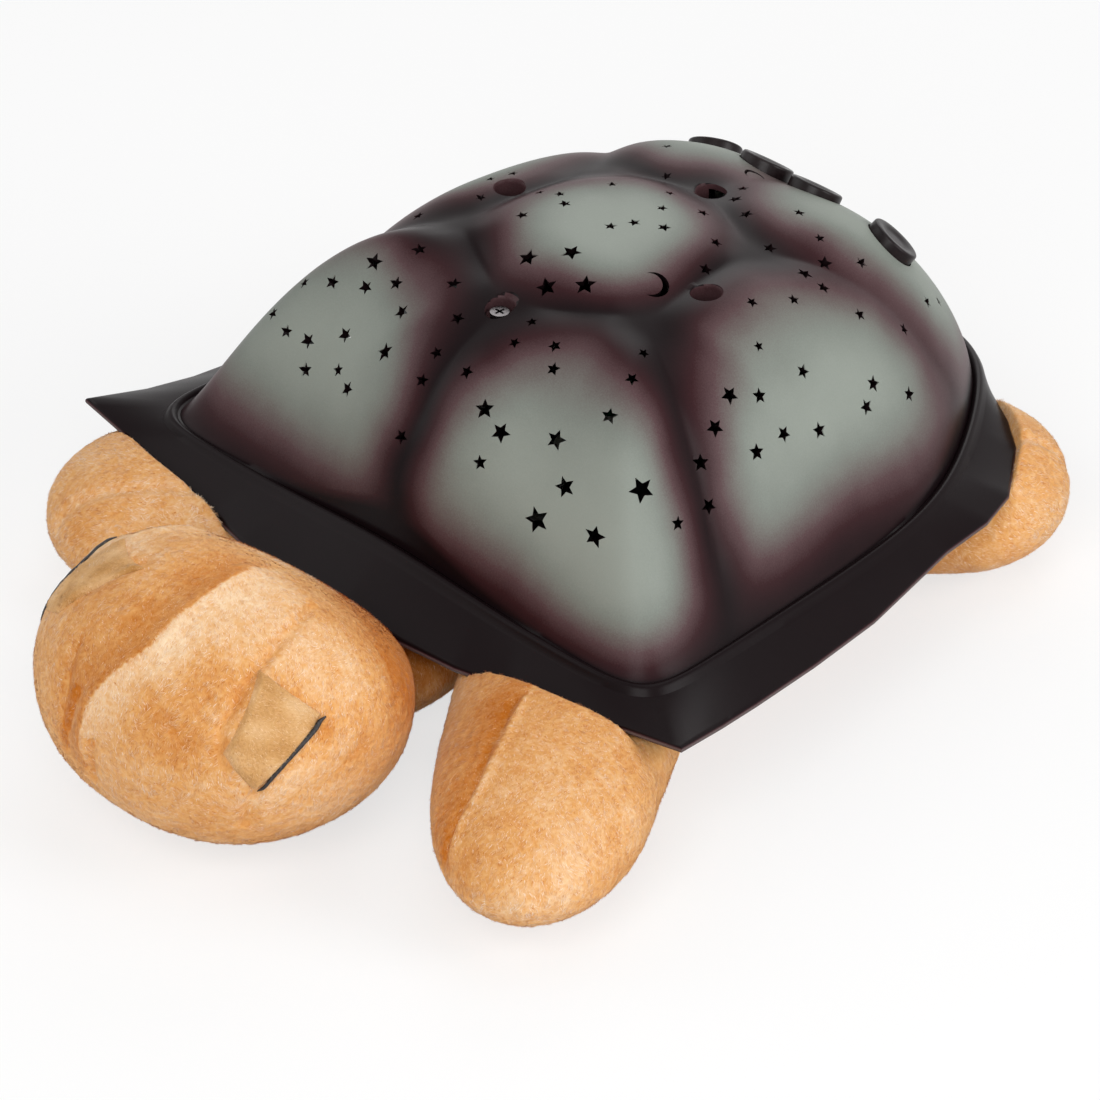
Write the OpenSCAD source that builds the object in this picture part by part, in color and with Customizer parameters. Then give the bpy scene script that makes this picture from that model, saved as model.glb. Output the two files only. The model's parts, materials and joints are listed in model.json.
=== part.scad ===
// Turtle-shaped star night light: a pierced hard shell over a lamp tray, seated in a plush turtle.
// The turtle looks along -Y, its left side is +X, and it stands on z = 0.

/* [Shell] */
// Height of the bead line where dome and skirt meet
rim_z = 45; // [40:1:52]
// Height of the dome above the bead line
dome_h = 75; // [60:1:85]
// From the middle to the straight front of the dome
rim_front = 85; // [75:1:92]
// From the middle to each side of the dome
rim_side = 95.5; // [88:0.5:100]
// From the middle to each slanted rear shoulder
rim_shoulder = 102.5; // [96:0.5:108]
// From the middle to the rear of the dome
rim_rear = 117; // [110:1:122]
// Wall thickness of the shell
shell_wall = 2; // [1.6:0.1:2.6]
// Depth of the valleys between the scutes
crease_depth = 5; // [2:0.5:6]
// Width of the valleys between the scutes
crease_w = 8.5; // [6:0.5:12]
// Rise of the rim over the neck
neck_arch = 3; // [0:0.5:5]
// Width of the raised bead round the dome
bead_w = 3.4; // [2:0.2:5]
// Height of the raised bead
bead_h = 1.4; // [0.6:0.2:2.4]
// Size of all the star holes against their own sizes
star_scale = 1; // [0.7:0.05:1.1]

/* [Screw wells] */
// From the middle to the front and rear wells
well_y = 42.3; // [38:0.1:46]
// From the middle to the side wells
well_x = 40.4; // [36:0.1:44]
// Bore of a screw well
well_d = 8.6; // [7.6:0.2:10]
// Depth of a screw well
well_depth = 4.6; // [4:0.2:12]
// Wall round and under a screw well
well_wall = 1.8; // [1.2:0.2:2.4]

/* [Buttons] */
// Diameter of a button cap
button_d = 16.4; // [14:0.2:17]
// Height of a button above the shell
button_proud = 2.6; // [2:0.2:5]
// Travel of a button
button_travel = 1.2; // [0.6:0.1:1.6]
// Gap round a button cap
button_gap = 0.4; // [0.25:0.05:0.7]
// Diameter of a button's stem
stem_d = 5; // [4:0.5:6]
// Sideways place of the two middle buttons
button_in_x = 10; // [9.5:0.5:11]
// Sideways place of the two outer buttons
button_out_x = 36.5; // [34:0.5:38]
// Rearward place of the middle buttons
button_in_y = 75; // [70:1:78]
// Rearward place of the outer buttons
button_out_y = 80; // [75:1:82]

/* [Lamp tray] */
// Thickness of the tray floor
tray_t = 2.4; // [2:0.2:3.2]
// Height of the tray's edge wall
tray_edge_h = 7; // [5:0.5:9]
// Gap between tray and shell
tray_gap = 0.5; // [0.3:0.1:1]
// Outer diameter of a screw post
post_d = 9; // [8:0.5:11]
// Shank diameter of the shell screws
screw_d = 3; // [2.5:0.1:3.5]
// Height of the lamp holder
lamp_h = 20; // [14:1:26]

/* [Battery box] */
// Diameter of an AA cell
cell_d = 14.4; // [14:0.1:14.5]
// Length of an AA cell with its tip
cell_l = 50.5; // [49.5:0.1:50.5]
// Spacing of the cells
cell_pitch = 15.4; // [15:0.1:17]
// Wall of the battery box
box_wall = 1.8; // [1.4:0.2:2.4]
// Room for a contact spring
spring_room = 6; // [5:0.5:8]
// Thickness of the battery door
door_t = 2.2; // [1.8:0.2:3]
// Gap round the battery door
door_gap = 0.4; // [0.3:0.1:0.8]

/* [Plush body] */
// Length of the head
head_l = 102; // [96:1:108]
// Width of the head
head_w = 116; // [104:1:120]
// Height of the head
head_h = 82; // [74:1:86]
// Forward place of the middle of the head
head_y = 157; // [154:1:160]
// Width of a front leg
leg_w = 68; // [60:1:72]
// Forward reach of the left front leg
leg_reach = 158; // [150:1:162]
// Sideways reach of the left front leg
leg_side = 130; // [124:1:134]
// Forward reach of the right front leg
right_reach = 125; // [118:1:130]
// Rearward reach of a rear leg
rear_reach = 111; // [106:1:116]
// Height of a leg
leg_h = 47; // [42:1:49]
// Width of a rear leg
rear_leg_w = 77; // [64:1:80]
// Length of the tail
tail_l = 34; // [24:1:40]
// Gap between a sewn piece and what it is sewn to
seam_gap = 0.3; // [0.2:0.1:0.5]
// Length of the belly pocket
pocket_l = 84; // [82:1:92]
// Width of the belly pocket
pocket_w = 72; // [70:1:80]
// Thickness of the belly flap
flap_t = 3; // [2:0.5:4]

/* [Hidden] */

// ---- small helpers ----
function mix_of(a, b, t) = a + (b - a) * t;
function clamp(v, low, high) = min(high, max(low, v));
function total(list, i = 0) = i < len(list) ? list[i] + total(list, i + 1) : 0;
function joined(lists) = [for (part = lists) each part];
function mirrored_x(p) = [-p.x, p.y, p.z];
function ring_centre(ring) = [for (k = [0 : 2]) total([for (p = ring) p[k]])] / len(ring);
// Rings of one length joined side to side, closed by a fan at each end
module skin(rings) {
  n = len(rings[0]);
  m = len(rings);
  points = concat(joined(rings), [ring_centre(rings[0]), ring_centre(rings[m - 1])]);
  sides = [for (k = [0 : m - 2], i = [0 : n - 1]) let (j = (i + 1) % n)
    each [[k * n + i, (k + 1) * n + i, k * n + j], [k * n + j, (k + 1) * n + i, (k + 1) * n + j]]];
  first = [for (i = [0 : n - 1]) [m * n, i, (i + 1) % n]];
  last = [for (i = [0 : n - 1]) [m * n + 1, (m - 1) * n + (i + 1) % n, (m - 1) * n + i]];
  polyhedron(points, concat(sides, first, last), convexity = 8);
}
// Two square grids of points, closed by a wall between their borders
function halves(q) = [[q[0], q[1], q[2]], [q[0], q[2], q[3]]];
module plate(front, back) {
  n = len(front);
  far = n * n;
  last = n - 1;
  cells = [for (j = [0 : n - 2], i = [0 : n - 2]) let (a = j * n + i) [a, a + n, a + n + 1, a + 1]];
  border = concat([for (j = [0 : n - 2]) j * n], [for (i = [0 : n - 2]) last * n + i],
    [for (j = [last : -1 : 1]) j * n + last], [for (i = [last : -1 : 1]) i]);
  walls = [for (k = [0 : len(border) - 1]) let (a = border[k], b = border[(k + 1) % len(border)])
    [a, a + far, b + far, b]];
  backs = [for (c = cells) [c[3] + far, c[2] + far, c[1] + far, c[0] + far]];
  faces = joined([for (q = concat(cells, backs, walls)) halves(q)]);
  polyhedron(concat(joined(front), joined(back)), faces, convexity = 4);
}
// What is cut from a skin stays one closed mesh
module one_mesh() { resize([0, 0, 0]) children(); }

// ---- the dome as a formula ----
// Rounded outline of the dome: six straight sides blended by a power mean
rim_faces = [[-90, rim_front], [5, rim_side], [175, rim_side], [36, rim_shoulder], [144, rim_shoulder],
  [90, rim_rear]];
rim_power = 12;
function rim_r(az) = pow(total([for (f = rim_faces) pow(max(0, cos(az - f[0]) / f[1]), rim_power)]),
    -1 / rim_power);
// Powers a and b of the profile h * (1 - t^a)^b, blended round the dome
dome_front = [2.8, 0.5];
dome_side = [4.4, 1.4];
dome_rear = [3.2, 0.9];
front_corner = [-0.2, 0.3];
rear_corner = [-0.5, -0.5];
function dome_powers(az) = let (s = sin(az), f = pow(max(-s, 0), 2), r = pow(max(s, 0), 2),
    c = pow(sin(2 * az), 2))
  f * dome_front + r * dome_rear + (1 - f - r) * dome_side + c * (s < 0 ? front_corner : rear_corner);
// Seams: a hexagon round the middle scute, and one seam from each of its corners to the rim
scute_corners = [[0, -well_y], [well_x, -24], [34, 29], [0, well_y], [-34, 29], [-well_x, -24]];
seam_ends = [-90, -25, 47, 90, 133, -155];
// Share of the depth at the middle scute and at the rim
seam_depths = [[1, 0.35], [1, 0.15], [1, 0.2], [0.35, 0.35], [1, 0.2], [1, 0.15]];
crease_power = 1.4;
seams = [for (i = [0 : 5]) each [[scute_corners[i], scute_corners[(i + 1) % 6], [1, 1]],
  [scute_corners[i], rim_r(seam_ends[i]) * [cos(seam_ends[i]), sin(seam_ends[i])], seam_depths[i]]]];
// How much of the full depth one seam leaves at a place
function past_seam(p, s) = let (d = s[1] - s[0], share = clamp((p - s[0]) * d / (d * d), 0, 1))
  1 - mix_of(s[2][0], s[2][1], share) * exp(-pow(norm(p - s[0] - d * share) / crease_w, crease_power));
function away_from_seams(p, i = 0) = i == len(seams) ? 1
  : past_seam(p, seams[i]) * away_from_seams(p, i + 1);
// Everything on the dome is seen from the middle of the bead line, where the lamp shines from
centre = [0, 0, rim_z];
function arch(p) = neck_arch * exp(-pow(p.x / 38, 2)) * pow(clamp((-p.y - 40) / 45, 0, 1), 2);
function dome_point(az, t, creased = true, inset = 0) = let (r = rim_r(az) * t, q = dome_powers(az),
    base = [r * cos(az), r * sin(az), dome_h * pow(max(0, 1 - pow(t, q[0])), q[1])],
    fade = clamp((1 - t) / 0.12, 0, 1),
    dip = creased ? crease_depth * (1 - away_from_seams([base.x, base.y])) * fade : 0,
    p = base * (1 - (dip + inset) / norm(base)))
  centre + p + [0, 0, arch(p)];
// The dome above a place in plan
function dome_over(x, y) = dome_point(atan2(y, x), norm([x, y]) / rim_r(atan2(y, x)));

// ---- the skirt ----
// Outer edge from the middle of the front round the left side to the middle of the rear
skirt_half = [[0, -104.5, 36], [24, -104, 35.5], [45, -102.5, 36], [62, -99, 36.5], [85, -96.5, 38],
  [104, -93.5, 40.5], [125, -92, 43.5], [121, -72, 40], [118.5, -56, 38.5], [115.5, -30, 38],
  [111.5, -2, 38], [105, 23, 38], [101.5, 38, 38.5], [99.5, 56.5, 39], [94, 71.5, 39], [77, 92.5, 38.5],
  [65, 101.5, 38.5], [42, 114.5, 38.5], [21, 124, 38.5]];
skirt_rear = [0, 127, 38.5];
half_count = len(skirt_half);
skirt_edge = concat(skirt_half, [skirt_rear],
    [for (i = [half_count - 1 : -1 : 1]) mirrored_x(skirt_half[i])]);
edge_count = len(skirt_edge);
// A side of the edge that is wider than this angle is halved
wide_side = 7.3;
function turn_of(p, q) = acos((p.x * q.x + p.y * q.y) / (norm([p.x, p.y]) * norm([q.x, q.y])));
edge_points = [for (i = [0 : edge_count - 1]) let (p = skirt_edge[i],
    q = skirt_edge[(i + 1) % edge_count],
    n = turn_of(p, q) > wide_side ? 2 : 1)
  for (k = [0 : n - 1]) mix_of(p, q, k / n) + [0, 0, rim_z - 45]];
azimuths = [for (p = edge_points) atan2(p.y, p.x)];
dome_rings = [0.08, 0.2, 0.31, 0.4, 0.49, 0.58, 0.67, 0.76, 0.84, 0.91, 0.96, 0.99];
inner_rings = [0.08, 0.31, 0.4, 0.49, 0.58, 0.7, 0.83, 0.93];
function out_from_rim(az, out, up) = let (r = rim_r(az) + out, p = [r * cos(az), r * sin(az), 0])
  p + [0, 0, rim_z + up + arch(p)];
function skirt_point(i, t, drop) = let (root = out_from_rim(azimuths[i], bead_w + 0.8, -0.8))
  mix_of(root, edge_points[i], t) - [0, 0, drop];
function ring_of_dome(t, inset) = [for (a = azimuths) dome_point(a, t, true, inset)];
module shell_skin() {
  n = len(azimuths);
  m = len(dome_rings);
  skin(concat(
    [for (t = inner_rings) ring_of_dome(t, shell_wall)],
    [[for (a = azimuths) out_from_rim(a, 1 - shell_wall, -1)]],
    [for (t = [0.02, 0.995]) [for (i = [0 : n - 1]) skirt_point(i, t, shell_wall)]],
    [for (t = [1, 0.02]) [for (i = [0 : n - 1]) skirt_point(i, t, 0)]],
    [[for (a = azimuths) out_from_rim(a, bead_w, 0.3)]],
    [[for (a = azimuths) out_from_rim(a, bead_w / 2, bead_h)]],
    [[for (a = azimuths) out_from_rim(a, 0.3, bead_h * 0.7)]],
    [for (k = [m - 1 : -1 : 0]) ring_of_dome(dome_rings[k], 0)]));
}

// ---- star holes: [azimuth, elevation, size] seen from the lamp ----
stars_middle = [[-101, 69.5, 3.2], [-77, 76, 3.2], [-77, 65.5, 3.2], [-56, 67.5, 3.3],
  [-20, 88, 2], [44, 84, 2], [37, 77.5, 2.1], [74, 76.5, 1.7], [132, 73, 1.7], [-175, 78, 2],
  [-146, 71.5, 2], [175, 74, 1.7], [93, 70, 1.7], [65, 68, 2], [37, 66, 2], [14, 64.5, 2.1],
  [180, 69, 1.7]];
stars_front_left = [[-74, 35.5, 3], [-68.5, 32, 3], [-71.5, 25.5, 2.2], [-55, 32.5, 3], [-52, 24.5, 3],
  [-43.5, 37, 2.4], [-57, 18, 3.7], [-46, 17.5, 3], [-38, 25, 3.7], [-32, 19, 2],
  [-25, 20, 2.4], [-25, 27.5, 2.6], [-38, 43.5, 2], [-59, 46, 2.1], [-60.5, 51, 2], [-74, 50, 1.8],
  [-73, 56, 1.7], [-83, 41, 2.2], [-33.5, 49, 1.7]];
stars_front_right = [[-139.5, 21.5, 2], [-134.5, 22, 2], [-140, 29, 1.8], [-135.5, 34, 2.2],
  [-130, 24, 2.4], [-126.5, 20, 2.4], [-124, 30.5, 2.4], [-119.5, 25, 2], [-114, 24, 2.5], [-110, 35, 3],
  [-115.5, 42.5, 2.5], [-125, 44.5, 2.2], [-129.5, 39, 2.2], [-134, 42.5, 2.8], [-132.5, 51, 2.1],
  [-112.5, 54, 2.3], [-98, 49.5, 2.1], [-95, 41.5, 1.9], [-94, 35.5, 2.1], [-92.5, 24, 2.3]];
stars_left = [[-14, 38, 2.8], [-6, 36, 2.4], [-20, 33, 2.7], [-11.5, 26.5, 2.6], [-3, 27.5, 2.5],
  [7, 24.5, 2.6], [9.5, 36, 2.3], [0.5, 44.5, 1.7], [22, 47.5, 1.9], [9, 52.5, 1.8],
  [26, 25, 2.5], [21.5, 22.5, 2.5], [33.5, 18, 2.3], [45.5, 44.5, 2.3], [36, 48, 2.4], [34, 44, 2.2],
  [35, 35.5, 2.1], [44, 25.5, 2]];
stars_rear_left = [[51, 38, 2], [53, 46.5, 1.6], [56, 22, 2.1], [61, 18, 1.6], [63, 49.5, 1.7],
  [65, 58.5, 1.7], [78, 57.5, 1.8], [84, 53.5, 1.6], [45, 55, 1.9]];
stars_rear_right = [[118, 50, 1.6], [128, 44, 1.6], [110, 60, 1.5],
  [126, 36, 2.2], [136, 24, 2.2], [102, 20, 1.9]];
stars_right = [[-167.5, 57.5, 1.6], [-180, 54.5, 1.6], [-157.5, 46.5, 1.8], [172, 56, 1.6],
  [-158, 30, 1.8], [-170, 38, 2], [175, 45, 1.8], [-166, 25, 2.4], [-176, 30, 2.4],
  [158, 26, 2.4], [172, 24, 2.2], [148, 40, 2]];
star_list = concat(stars_middle, stars_front_left, stars_front_right, stars_left, stars_rear_left,
  stars_rear_right, stars_right);
star_waist = 0.46;
module star(r) {
  polygon([for (k = [0 : 9]) r * (k % 2 == 0 ? 1 : star_waist) * [cos(36 * k), sin(36 * k)]]);
}
module towards(az, el) { translate(centre) rotate([0, 90 - el, az]) children(); }
// Distance from the lamp to the dome in a direction, by halving
function dome_reach(az, el, low = 0, high = 1, n = 10) = let (t = (low + high) / 2,
    p = dome_point(az, t, false) - centre)
  n == 0 ? norm(p) : atan2(p.z, norm([p.x, p.y])) > el ? dome_reach(az, el, t, high, n - 1)
  : dome_reach(az, el, low, t, n - 1);
hole_in = crease_depth + shell_wall + 1.5;
module hole_at(az, el, turn) {
  towards(az, el) translate([0, 0, dome_reach(az, el) - hole_in])
    rotate(turn) linear_extrude(hole_in + 3) children();
}
module star_holes() {
  for (i = [0 : len(star_list) - 1]) let (s = star_list[i])
    hole_at(s[0], s[1], 37 * i) star(s[2] * star_scale);
}
// Two crescent holes: [azimuth, elevation, radius]
moons = [[-19, 66, 4.4], [92, 46, 3]];
moon_bite = 0.88;
moon_shift = 0.33;
moon_turn = 65;
module crescent(r) {
  difference() { circle(r, $fn = 20); translate([-r * moon_shift, 0]) circle(r * moon_bite, $fn = 20); }
}
module moon_holes() {
  for (m = moons) hole_at(m[0], m[1], moon_turn) crescent(m[2] * star_scale);
}

// ---- wells and posts ----
wells = [[0, -well_y], [well_x, 0], [0, well_y], [-well_x, 0]];
function well_top(w) = dome_over(w.x, w.y).z;
well_floor = min([for (w = wells) well_top(w)]) - well_depth;
post_top = well_floor - well_wall;
module at_wells() { for (w = wells) translate(w) children(); }
// A cup round each well, whose upper edge lies inside the wall of the dome
cup_sides = 12;
module well_cup(w) {
  ring = [for (i = [0 : cup_sides - 1]) let (a = 360 * i / cup_sides)
    w + (well_d / 2 + well_wall) * [cos(a), sin(a)]];
  skin([[for (p = ring) [p.x, p.y, post_top]],
    [for (p = ring) dome_over(p.x, p.y) - [0, 0, shell_wall / 3]]]);
}

// ---- buttons: local frames on the dome, z along the outward normal ----
function smooth_point(x, y) = dome_point(atan2(y, x), norm([x, y]) / rim_r(atan2(y, x)), false);
function dome_normal(x, y) = let (d = 1, n = cross(smooth_point(x + d, y) - smooth_point(x - d, y),
    smooth_point(x, y + d) - smooth_point(x, y - d))) n / norm(n);
middle_site = [0, button_in_y];
left_site = [button_out_x, button_out_y];
right_site = [-button_out_x, button_out_y];
module at_site(site) {
  n = dome_normal(site.x, site.y);
  translate(smooth_point(site.x, site.y)) rotate([0, acos(n.z), atan2(n.y, n.x)]) children();
}
// The pair in the middle shares one frame and sits along its local y
pair = [-button_in_x, button_in_x];
middle_normal = dome_normal(0, button_in_y);
pair_drop = (smooth_point(0, button_in_y) - dome_over(button_in_x, button_in_y)) * middle_normal;
cap_low = 6.5;
flange_t = 1.4;
flange_d = button_d + 2.4;
fit_gap = 0.05;
ear_x = 15;
bracket_top = -9.4;
bracket_t = 1.6;
board_seat = -18.3;
board_t = 1.6;
bracket_screw_d = 2;
pilot_gap = 0.15;
boss_d = 6;
// A point of a site's frame in the whole part's frame, and the dome's height over a place of that frame
function site_place(site, p) = let (n = dome_normal(site.x, site.y), a = atan2(n.y, n.x), c = acos(n.z),
    q = [p.x * cos(c) + p.z * sin(c), p.y, -p.x * sin(c) + p.z * cos(c)])
  smooth_point(site.x, site.y) + [q.x * cos(a) - q.y * sin(a), q.x * sin(a) + q.y * cos(a), q.z];
function dome_at(site, x, y) = let (q = site_place(site, [x, y, -2]))
  (dome_over(q.x, q.y) - smooth_point(site.x, site.y)) * dome_normal(site.x, site.y);
// Children are placed at each button of a site, along local y
module at_buttons(rows, drop) { for (y = rows) translate([0, y, -drop]) children(); }
module at_ears() { for (x = [-ear_x, ear_x]) translate([x, 0, 0]) children(); }
module shell_under_site(site) {
  at_site(site) {
    for (x = [-ear_x, ear_x]) let (top = dome_at(site, x, 0) - shell_wall / 2)
      translate([x, 0, bracket_top]) cylinder(h = top - bracket_top, d = boss_d, $fn = 8);
  }
}
module shell_cut_site(site, rows, drop) {
  at_site(site) {
    at_buttons(rows, drop) translate([0, 0, -cap_low])
      cylinder(h = 2 * cap_low, d = button_d + 2 * button_gap, $fn = 32);
    for (x = [-ear_x, ear_x]) let (top = dome_at(site, x, 0) - shell_wall)
      translate([x, 0, bracket_top - 1])
        cylinder(h = top - bracket_top, d = bracket_screw_d + 2 * pilot_gap, $fn = 8);
  }
}

// ---- shell ----
shell_colour = [0.29, 0.27, 0.27];
module shell() {
  color(shell_colour) one_mesh() difference() {
    union() {
      shell_skin();
      for (w = wells) well_cup(w);
      shell_under_site(middle_site);
      shell_under_site(left_site);
      shell_under_site(right_site);
    }
    at_wells() {
      translate([0, 0, well_floor]) cylinder(h = dome_h, d = well_d, $fn = 20);
      translate([0, 0, post_top - 1]) cylinder(h = dome_h, d = screw_d + 0.4, $fn = 8);
    }
    shell_cut_site(middle_site, pair, pair_drop);
    shell_cut_site(left_site, [0], 0);
    shell_cut_site(right_site, [0], 0);
    star_holes();
    moon_holes();
  }
}

// ---- lamp tray: floor, edge wall, posts, battery box walls ----
tray_z = rim_z - tray_edge_h;
tray_top = tray_z + tray_t;
tray_colour = [0.16, 0.15, 0.16];
tray_steps = 60;
module rim_outline(offset_by) {
  polygon([for (i = [0 : tray_steps - 1]) let (a = i * 360 / tray_steps)
    (rim_r(a) + offset_by) * [cos(a), sin(a)]]);
}
tray_inset = -shell_wall - tray_gap - 1;
box_y = 4;
box_in_w = 2 * cell_pitch + cell_d + 0.8;
box_in_l = cell_l + spring_room + 1.2;
box_low = tray_z - cell_d - 0.8;
door_low = box_low - door_t;
door_screw_y = box_y - box_in_l / 2 - box_wall - 4.4;
door_screw_d = 3;
boss_wall = 1.8;
boss_outer = door_screw_d + 2 * boss_wall;
module box_walls() {
  wall_low = door_low;
  difference() {
    translate([-box_in_w / 2 - box_wall, box_y - box_in_l / 2 - box_wall, wall_low])
      cube([box_in_w + 2 * box_wall, box_in_l + 2 * box_wall, tray_z - wall_low + 0.5]);
    translate([-box_in_w / 2, box_y - box_in_l / 2, wall_low - 1])
      cube([box_in_w, box_in_l, tray_z - wall_low + 1]);
    translate([-tongue_w / 2 - door_gap, box_y, wall_low - 1])
      cube([tongue_w + 2 * door_gap, box_in_l, door_t + 1 + door_gap]);
    translate([-ear_w / 2 - door_gap, box_y - box_in_l, wall_low - 1])
      cube([ear_w + 2 * door_gap, box_in_l, door_t + 1 + door_gap]);
  }
}
tongue_w = 14;
ear_w = boss_outer + 1.6;
standoff_d = 5;
standoff_h = 4;
board_screw_d = 2.2;
main_board = [60, 24];
main_board_y = -63;
main_holes = [for (x = [-1, 1], y = [-1, 1]) [x * (main_board.x / 2 - 3.5),
    main_board_y + y * (main_board.y / 2 - 3.5)]];
holder_flange_d = 32;
holder_holes = [for (x = [-1, 1]) [x * 12.5, 0]];
lead_hole_d = 5;
lead_hole = [30, box_y - box_in_l / 2 - 12];
module lamp_tray() {
  color(tray_colour) {
    difference() {
      union() {
        translate([0, 0, tray_z]) linear_extrude(tray_t) rim_outline(tray_inset);
        translate([0, 0, tray_z]) linear_extrude(tray_edge_h) difference() {
          rim_outline(tray_inset);
          rim_outline(tray_inset - 2);
        }
        at_wells() translate([0, 0, tray_top - 0.5])
          cylinder(h = post_top - tray_top + 0.5, d = post_d, $fn = 32);
        for (h = main_holes) translate([h.x, h.y, tray_top - 0.5])
          cylinder(h = standoff_h + 0.5, d = standoff_d, $fn = 24);
        box_walls();
        translate([0, door_screw_y, box_low + door_gap])
          cylinder(h = tray_z - box_low, d = boss_outer, $fn = 28);
      }
      at_wells() translate([0, 0, post_top - 20]) cylinder(h = 21, d = screw_d + 2 * pilot_gap, $fn = 24);
      for (h = main_holes) translate([h.x, h.y, tray_top])
        cylinder(h = standoff_h + 1, d = board_screw_d + 2 * pilot_gap, $fn = 20);
      for (h = holder_holes) translate([h.x, h.y, tray_z + 0.8])
        cylinder(h = tray_t, d = board_screw_d + 2 * pilot_gap, $fn = 20);
      translate([0, door_screw_y, door_low])
        cylinder(h = door_screw_in + door_t + 1, d = door_screw_d + 2 * fit_gap, $fn = 28);
      translate([lead_hole.x, lead_hole.y, tray_z - 1])
        cylinder(h = tray_t + 2, d = lead_hole_d, $fn = 24);
    }
  }
}

// ---- screws ----
steel = [0.72, 0.72, 0.74];
module pan_screw(d, shank, head_d, head_h) {
  difference() {
    union() {
      translate([0, 0, -shank]) cylinder(h = shank, d = d, $fn = 24);
      cylinder(h = head_h, d = head_d, $fn = 28);
    }
    for (a = [0, 90]) rotate(a) translate([-head_d * 0.3, -0.4, head_h * 0.45])
      cube([head_d * 0.6, 0.8, head_h]);
  }
}
shell_screw_head = 5.6;
module shell_screws() {
  color(steel) at_wells() translate([0, 0, well_floor]) pan_screw(screw_d, 16, shell_screw_head, 2.2);
}
module board_screws() {
  color(steel) {
    for (h = main_holes) translate([h.x, h.y, tray_top + standoff_h + board_t])
      pan_screw(board_screw_d, 4.6, 4, 1.6);
    for (h = holder_holes) translate([h.x, h.y, tray_top + 2]) pan_screw(board_screw_d, 3, 4, 1.6);
  }
}

// ---- lamp ----
holder_d = 20;
lamp_top = tray_top + lamp_h;
led_d = 5;
led_ring = 5.2;
slot_w = 8;
module lamp_holder() {
  color([0.92, 0.92, 0.9]) difference() {
    union() {
      translate([0, 0, tray_top]) cylinder(h = 2, d = holder_flange_d, $fn = 48);
      translate([0, 0, tray_top]) cylinder(h = lamp_h, d = holder_d, $fn = 48);
    }
    translate([0, 0, tray_top - 1]) cylinder(h = lamp_h + 2, d = holder_d - 4, $fn = 40);
    for (h = holder_holes) translate([h.x, h.y, tray_top - 1])
      cylinder(h = 4, d = board_screw_d + 2 * pilot_gap, $fn = 20);
    translate([-slot_w / 2, -holder_d, tray_top - 1]) cube([slot_w, holder_d, 5.5]);
  }
}
module lamp_board() {
  color([0.1, 0.4, 0.2]) translate([0, 0, lamp_top]) cylinder(h = board_t, d = holder_d, $fn = 48);
}
module led(a, colour) {
  color(colour) translate([led_ring * cos(a), led_ring * sin(a), lamp_top + board_t]) {
    cylinder(h = 1, d = led_d + 0.8, $fn = 32);
    cylinder(h = 6, d = led_d, $fn = 32);
    translate([0, 0, 6]) sphere(d = led_d, $fn = 32);
  }
}
module led_amber() { led(90, [1, 0.7, 0.2]); }
module led_green() { led(210, [0.3, 0.9, 0.4]); }
module led_blue() { led(330, [0.3, 0.5, 1]); }

// ---- main board ----
main_z = tray_top + standoff_h;
module main_board() {
  color([0.12, 0.42, 0.22]) difference() {
    translate([-main_board.x / 2, main_board_y - main_board.y / 2, main_z])
      cube([main_board.x, main_board.y, board_t]);
    for (h = main_holes) translate([h.x, h.y, main_z - 1])
      cylinder(h = board_t + 2, d = board_screw_d + 2 * pilot_gap, $fn = 20);
  }
}
part_z = main_z + board_t;
battery_plug = [23, main_board_y - 1];
lamp_plug = [5.5, main_board_y + 7];
switch_plugs = [[-17, main_board_y + 7], [16, main_board_y + 7]];
plug_size = [8, 5, 5];
module main_board_parts() {
  color([0.1, 0.1, 0.1]) {
    translate([-8, main_board_y - 6, part_z]) cube([14, 8, 2]);
    translate([-20, main_board_y - 6, part_z]) cylinder(h = 9, d = 6.3, $fn = 32);
    for (x = [8 : 3 : 17]) translate([x, main_board_y - 8, part_z]) cube([1.6, 3.2, 0.8]);
  }
  color("white") for (p = concat([battery_plug, lamp_plug], switch_plugs))
    translate([p.x - plug_size.x / 2, p.y - plug_size.y / 2, part_z]) cube(plug_size);
}

// ---- button brackets, boards and switches, drawn in a site's frame ----
plate_x = 18;
guide_d = 8;
guide_top = -8.1;
function plate_half(rows) = max(rows) + 7;
module bracket(rows, drop) {
  y = plate_half(rows);
  color([0.85, 0.85, 0.83]) difference() {
    union() {
      translate([-plate_x / 2, -y, bracket_top - bracket_t]) cube([plate_x, 2 * y, bracket_t]);
      translate([-ear_x - 3, -3.5, bracket_top - bracket_t]) cube([2 * ear_x + 6, 7, bracket_t]);
      at_ears() translate([0, 0, board_seat])
        cylinder(h = bracket_top - board_seat, d = boss_d, $fn = 24);
      for (r = rows) translate([0, r, bracket_top - bracket_t])
        cylinder(h = guide_top - drop - bracket_top + bracket_t, d = guide_d, $fn = 32);
    }
    for (r = rows) translate([0, r, bracket_top - 4])
      cylinder(h = 8, d = stem_d + 2 * fit_gap, $fn = 32);
    at_ears() translate([0, 0, board_seat - 1])
      cylinder(h = 12, d = bracket_screw_d + 2 * pilot_gap, $fn = 20);
  }
}
module switch_board(rows) {
  y = plate_half(rows) - 0.5;
  color([0.12, 0.42, 0.22]) difference() {
    union() {
      translate([-plate_x / 2, -y, board_seat - board_t]) cube([plate_x, 2 * y, board_t]);
      translate([-ear_x - 3, -3.5, board_seat - board_t]) cube([2 * ear_x + 6, 7, board_t]);
    }
    at_ears() translate([0, 0, board_seat - board_t - 1])
      cylinder(h = board_t + 2, d = bracket_screw_d + 2 * pilot_gap, $fn = 20);
  }
}
switch_size = 6;
switch_h = 3.5;
plunger_d = 3.4;
plunger_in = 1.6;
plunger_out = 1.4;
function switch_top() = board_seat + switch_h;
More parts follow.
